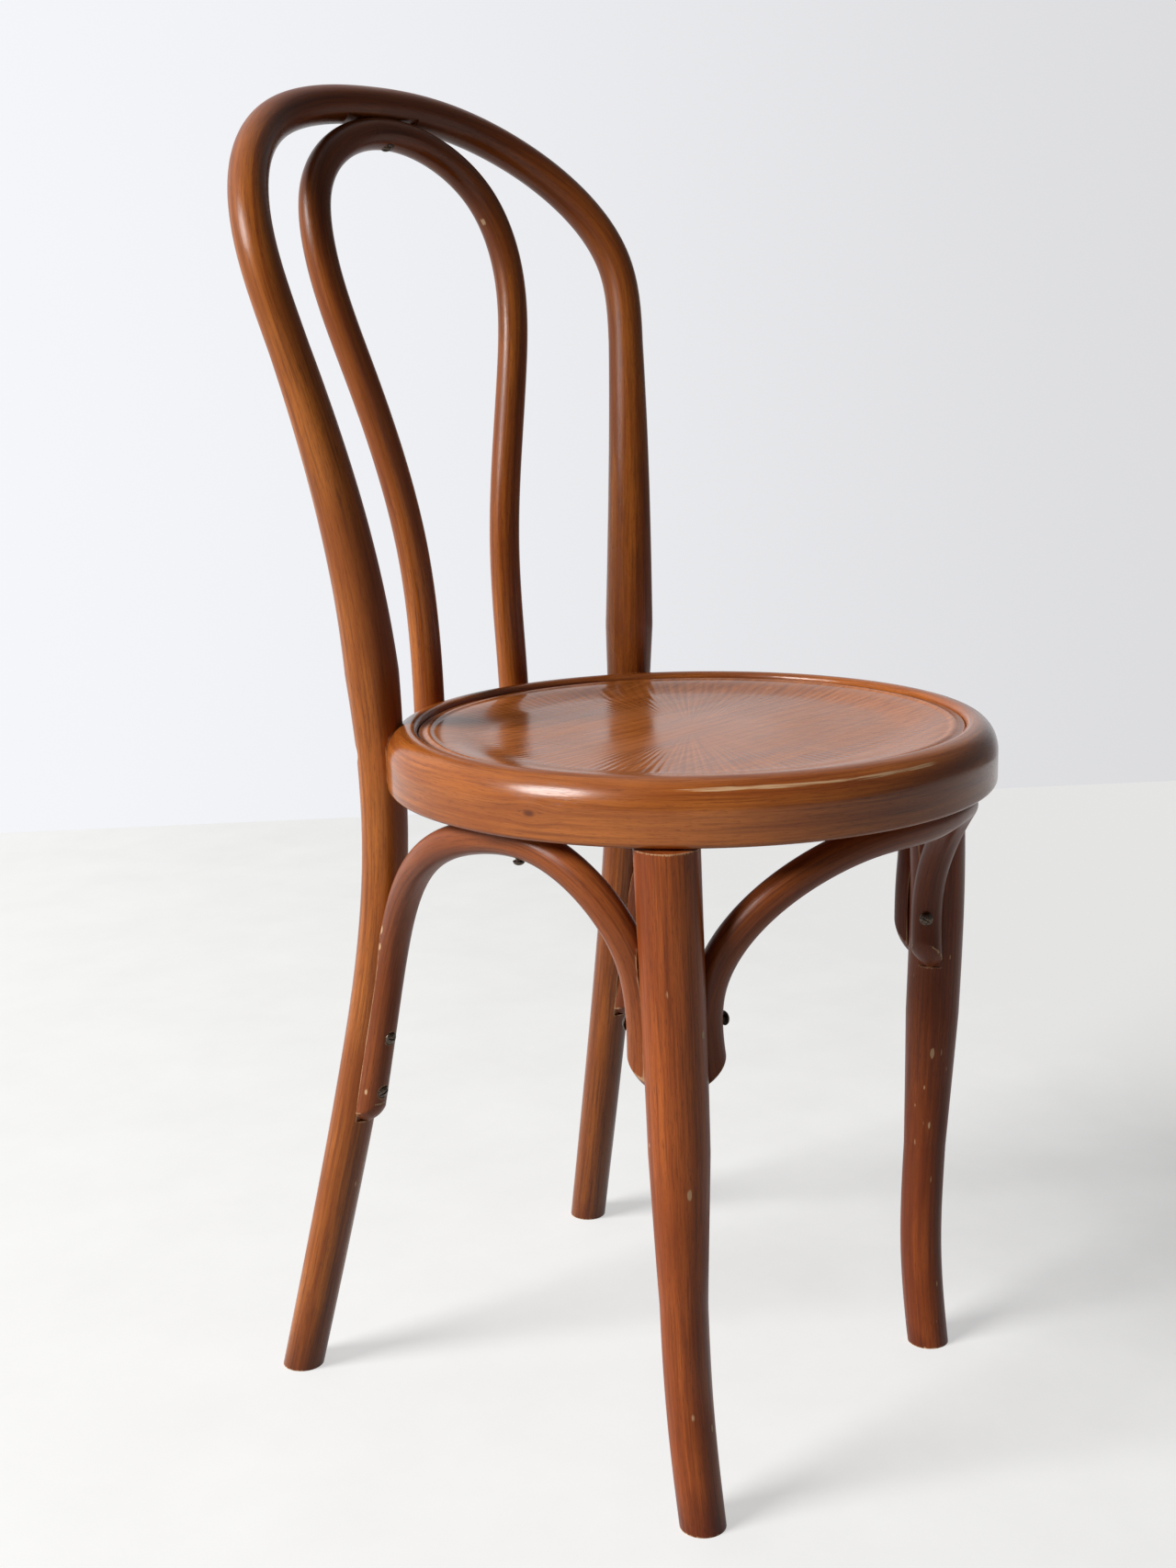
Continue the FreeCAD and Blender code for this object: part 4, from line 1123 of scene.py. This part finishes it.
# %% One screw inside the tree
def screw_shape(w, start):
    radius, dome = start["Head radius"], start["Dome"]
    ball = w.node("GeometryNodeMeshUVSphere", Segments=40, Rings=24, Radius=1.0).outputs[0]
    cap = w.node("GeometryNodeTransform", Geometry=ball, Scale=w.vector(radius, radius, dome)).outputs[0]
    x, y, z = w.split(w.node("GeometryNodeInputPosition").outputs[0])
    level = w.vector(x, y, w.maths("MAXIMUM", z, 0.0))
    flat = w.node("GeometryNodeSetPosition", Geometry=cap, Position=level).outputs[0]
    size = w.vector(w.times(radius, 3.0), start["Slot width"], dome)
    lift = w.minus(w.times(dome, 1.5), start["Slot depth"])
    bar = w.node("GeometryNodeMeshCube", Size=size).outputs[0]
    bar = w.node("GeometryNodeTransform", Geometry=bar, Translation=w.vector(z=lift)).outputs[0]
    slotted = w.node("GeometryNodeMeshBoolean", Mesh_1=flat, Mesh_2=bar).outputs[0]
    sink = w.vector(z=w.times(start["Shank length"], -0.5))
    shank = w.node("GeometryNodeMeshCylinder", Vertices=16, Radius=start["Shank radius"],
                   Depth=start["Shank length"]).outputs[0]
    shank = w.node("GeometryNodeTransform", Geometry=shank, Translation=sink).outputs[0]
    both = w.node("GeometryNodeJoinGeometry")
    w.put(both, 0, slotted)
    w.put(both, 0, shank)
    return both.outputs[0]


# %% The tree that sets a screw on every place
def screw_tree():
    number = "Float"
    w, start, end = new_tree(
        "Screws on places", "GeometryNodeTree",
        [("Places", "Geometry", None), ("Head radius", number, screw_head / 2 * mm),
         ("Dome", number, 0.0026), ("Slot width", number, 0.0011), ("Slot depth", number, 0.0011),
         ("Shank radius", number, 0.002), ("Shank length", number, 0.02),
         ("Finish", "Material", None)],
        [("Screws", "Geometry")])
    drive = w.node("GeometryNodeInputNamedAttribute", Name="outward")
    drive.data_type = "FLOAT_VECTOR"
    turn = w.node("GeometryNodeInputNamedAttribute", Name="slot_turn").outputs[0]
    aim = w.node("FunctionNodeAlignRotationToVector", Vector=drive.outputs[0])
    aim.axis = "Z"
    about = w.node("FunctionNodeAxisAngleToRotation", Axis=(0, 0, 1), Angle=turn).outputs[0]
    spin = w.node("FunctionNodeRotateRotation", Rotation=aim.outputs[0], Rotate_By=about)
    spin.rotation_space = "LOCAL"
    copies = w.node("GeometryNodeInstanceOnPoints", Points=start["Places"], Instance=screw_shape(w, start),
                    Rotation=spin.outputs[0]).outputs[0]
    w.put(end, "Screws", w.dress(copies, start["Finish"]))
    return w.tree


screws_on_places = screw_tree()
print("nodes in the screws' tree:", len(screws_on_places.nodes))


# %% Set screws on places
def set_screws(name, seats, finish, first_turn=0.4, **sizes):
    """seats is a list of (seat, outward), in millimetres round the seat's middle."""
    mesh = bpy.data.meshes.new(name + "_places")
    mesh.from_pydata(placed([seat for seat, _ in seats]).tolist(), [], [])
    write_record(mesh, "outward", [out for _, out in seats])
    write_record(mesh, "slot_turn", first_turn + 2.4 * np.arange(len(seats)))
    piece = grown(name, mesh, screws_on_places, Finish=finish, **sizes)
    piece.data.shade_smooth()
    piece.data.set_sharp_from_angle(angle=math.radians(35))
    return piece


# %% [markdown]
# ## The screws
# Every screw of the chair now gets its place: eight through the laps, three up into the ring, two in
# the hooks of the inner hoop and one at its crown.

# %% The screws of the chair
brace_leg_screws = set_screws("brace_leg_screw_set", right_screws + left_screws + front_screws, dark_steel)
ring_seats = [(side_seat, down), (flip(side_seat), down), (front_seat, down)]
small_head = {"Head radius": ring_screw_head / 2 * mm}
brace_ring_screws = set_screws("brace_ring_screw_set", ring_seats, dark_steel, 0.9, **small_head)
hook_seats = [(hook_seat, hook_out), (flip(hook_seat), flip(hook_out))]
inner_hoop_screws = set_screws("inner_hoop_screw_set", hook_seats, dark_steel, 0.7)
crown_screw = set_screws("crown_screw_head", [(crown_seat, crown_down)], dark_steel, 0.3)
print("screw faces:", len(brace_leg_screws.data.polygons))

# %% [markdown]
# ## Handing the pieces to the frame
# Each new piece rides on the chair's one body, takes its material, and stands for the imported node
# that it follows. The bolts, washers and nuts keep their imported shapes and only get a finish.

# %% Each piece takes its node's place
def give_finish(piece, finish):
    piece.data.materials.clear()
    piece.data.materials.append(finish)


stand_ins = [
    (seat_ring, "seat_ring", ring_finish), (seat_panel, "seat_panel", panel_finish),
    (back_hoop, "back_hoop", hoop_finish), (inner_hoop, "inner_hoop", hoop_finish),
    (front_leg_right, "front_leg_right", leg_finish), (front_leg_left, "front_leg_left", leg_finish),
    (brace_right, "brace_right", arch_finish), (brace_left, "brace_left", arch_finish),
    (brace_front, "brace_front", arch_finish), (brace_leg_screws, "brace_leg_screws", dark_steel),
    (brace_ring_screws, "brace_ring_screws", dark_steel),
    (inner_hoop_screws, "inner_hoop_screws", dark_steel), (crown_screw, "crown_screw", dark_steel)]
for piece, node, finish in stand_ins:
    give_finish(piece, finish)
    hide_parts(node)
    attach(piece, "root")
for node, finish in (("upright_bolts", dark_steel), ("upright_washers", bright_steel),
                     ("upright_nuts", bright_steel)):
    give_finish(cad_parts[node], finish)
print("pieces placed:", len(stand_ins))

# %% [markdown]
# ## Floor and light
# The photograph was taken in a pale studio, with one large soft light from the left and a little
# light from everywhere. The floor ends where the photograph's floor meets the wall, and the pale
# surroundings take its place. Dark surroundings behind the camera keep the wood's shaded side deep.
# The window is a sun lamp with a wide angle: an area lamp would light the near floor more than the
# far floor, while this is even and still blurs the shadows.

# %% The floor: pale to the camera and painted brighter towards the lamp, with the chair's shadow, and quieter to the wood
wall_line = [np.array([626.0, 1818.0, 0]), np.array([1960.0, 532.0, 0])]
along_wall = unit(wall_line[1] - wall_line[0])
towards_camera = np.array([along_wall[1], -along_wall[0], 0])
reach = 30000.0
ends = [wall_line[0] - along_wall * reach, wall_line[1] + along_wall * reach]
ends += [end + towards_camera * reach for end in ends[::-1]]
floor = new_piece("studio_floor", ends, [(0, 1, 2, 3)])
floor.data.flip_normals()
print("the floor looks up:", round(floor.data.polygons[0].normal.z, 2))


def seen(w):
    """One for what the camera, a reflection or a clear piece sees, nought for plain light."""
    path = w.node("ShaderNodeLightPath").outputs
    direct = w.maths("MAXIMUM", path["Is Camera Ray"], path["Is Glossy Ray"])
    return w.maths("MAXIMUM", direct, path["Is Transmission Ray"])


def floor_finish():
    material, w, shader = new_material("Studio floor")
    shader.inputs["Base Color"].default_value = (0.36, 0.36, 0.355, 1)
    shader.inputs["Roughness"].default_value = 0.7
    shader.inputs["Specular IOR Level"].default_value = 0.1
    place = w.node("ShaderNodeTexCoord").outputs["Object"]
    x, y, _ = w.split(place)
    # Painted light: the floor's glow is brighter towards the lamp and darker away from it. The patches are
    # the floor's own mottling.
    away_from_window = w.minus(w.times(x, 0.92), w.times(y, 0.39))
    patches = w.times(w.noise(w.scaled(place, (9, 9, 9)), 6, 0.62), 0.3)
    painted_falloff_and_patches = w.plus(w.range(away_from_window, -1.3, 1.3), patches)
    w.put(shader, "Emission Color", w.mix(painted_falloff_and_patches, (0.73, 0.73, 0.725, 1), (0.44, 0.437, 0.435, 1)))
    w.put(shader, "Emission Strength", seen(w))
    return material


floor.data.materials.append(floor_finish())

# %% Soft studio light
world = bpy.data.worlds.new("Studio")
bpy.context.scene.world = world
world.use_nodes = True
sky = Wires(world.node_tree)
direction = sky.node("ShaderNodeTexCoord").outputs["Generated"]
towards_wall = sky.vector_maths("DOT_PRODUCT", direction, (-0.17, 0.985, 0.0))
wall = sky.mix(sky.range(towards_wall, 0.15, 0.85), (0.71, 0.71, 0.73, 1), (0.93, 0.94, 0.97, 1))
pale = sky.mix(sky.range(towards_wall, -0.2, 0.22), (0.2, 0.2, 0.205, 1), wall)
dim = sky.mix(sky.range(towards_wall, -0.1, 0.95), (0.03, 0.03, 0.03, 1), (0.5, 0.5, 0.5, 1))
background = world.node_tree.nodes["Background"]
sky.put(background, "Color", sky.mix(seen(sky), dim, pale))
background.inputs["Strength"].default_value = 1.0

from_window = Vector((0.765, -0.295, -0.574))
lamp_data = bpy.data.lights.new("Window", "SUN")
lamp_data.energy = 4.2
lamp_data.angle = math.radians(25)
lamp = bpy.data.objects.new("Window", lamp_data)
lamp.rotation_euler = from_window.to_track_quat("-Z", "Y").to_euler()
bpy.context.scene.collection.objects.link(lamp)
print("the lamp's strength:", lamp_data.energy, "and its width in radians:", round(lamp_data.angle, 3))

# %% [markdown]
# ## The camera
# It stands where the photographer stood: a little over a metre away, at the height of a table, and
# turned so that the chair's right side shows. The place and the lens were worked out from the curves
# of the seat and the rods in the photograph.

# %% The camera
target = placed((-65.88, 30.23, 428.76))
distance = 1.2243
azimuth, elevation, roll = (math.radians(angle) for angle in (-49.13, 12.46, 1.37))
level = math.cos(elevation)
back = Vector((math.sin(azimuth) * level, -math.cos(azimuth) * level, math.sin(elevation)))
right = (-back).cross(Vector((0, 0, 1))).normalized()
image_down = (-back).cross(right)
across = right * math.cos(roll) + image_down * math.sin(roll)
upwards = right * math.sin(roll) - image_down * math.cos(roll)
sensor_width = 36
focal_pixels = 2118.56
photograph_pixels = 1280
camera_data = bpy.data.cameras.new("Photograph")
camera = bpy.data.objects.new("Photograph", camera_data)
bpy.context.scene.collection.objects.link(camera)
turn = Matrix((across, upwards, back)).transposed().to_4x4()
camera.matrix_world = Matrix.Translation(Vector(target) + back * distance) @ turn
camera_data.sensor_width = sensor_width
camera_data.sensor_fit = "HORIZONTAL"
camera_data.lens = sensor_width * focal_pixels / photograph_pixels
bpy.context.scene.camera = camera
bpy.context.scene.view_settings.view_transform = "Standard"
print("the lens:", round(camera_data.lens, 2), "mm")
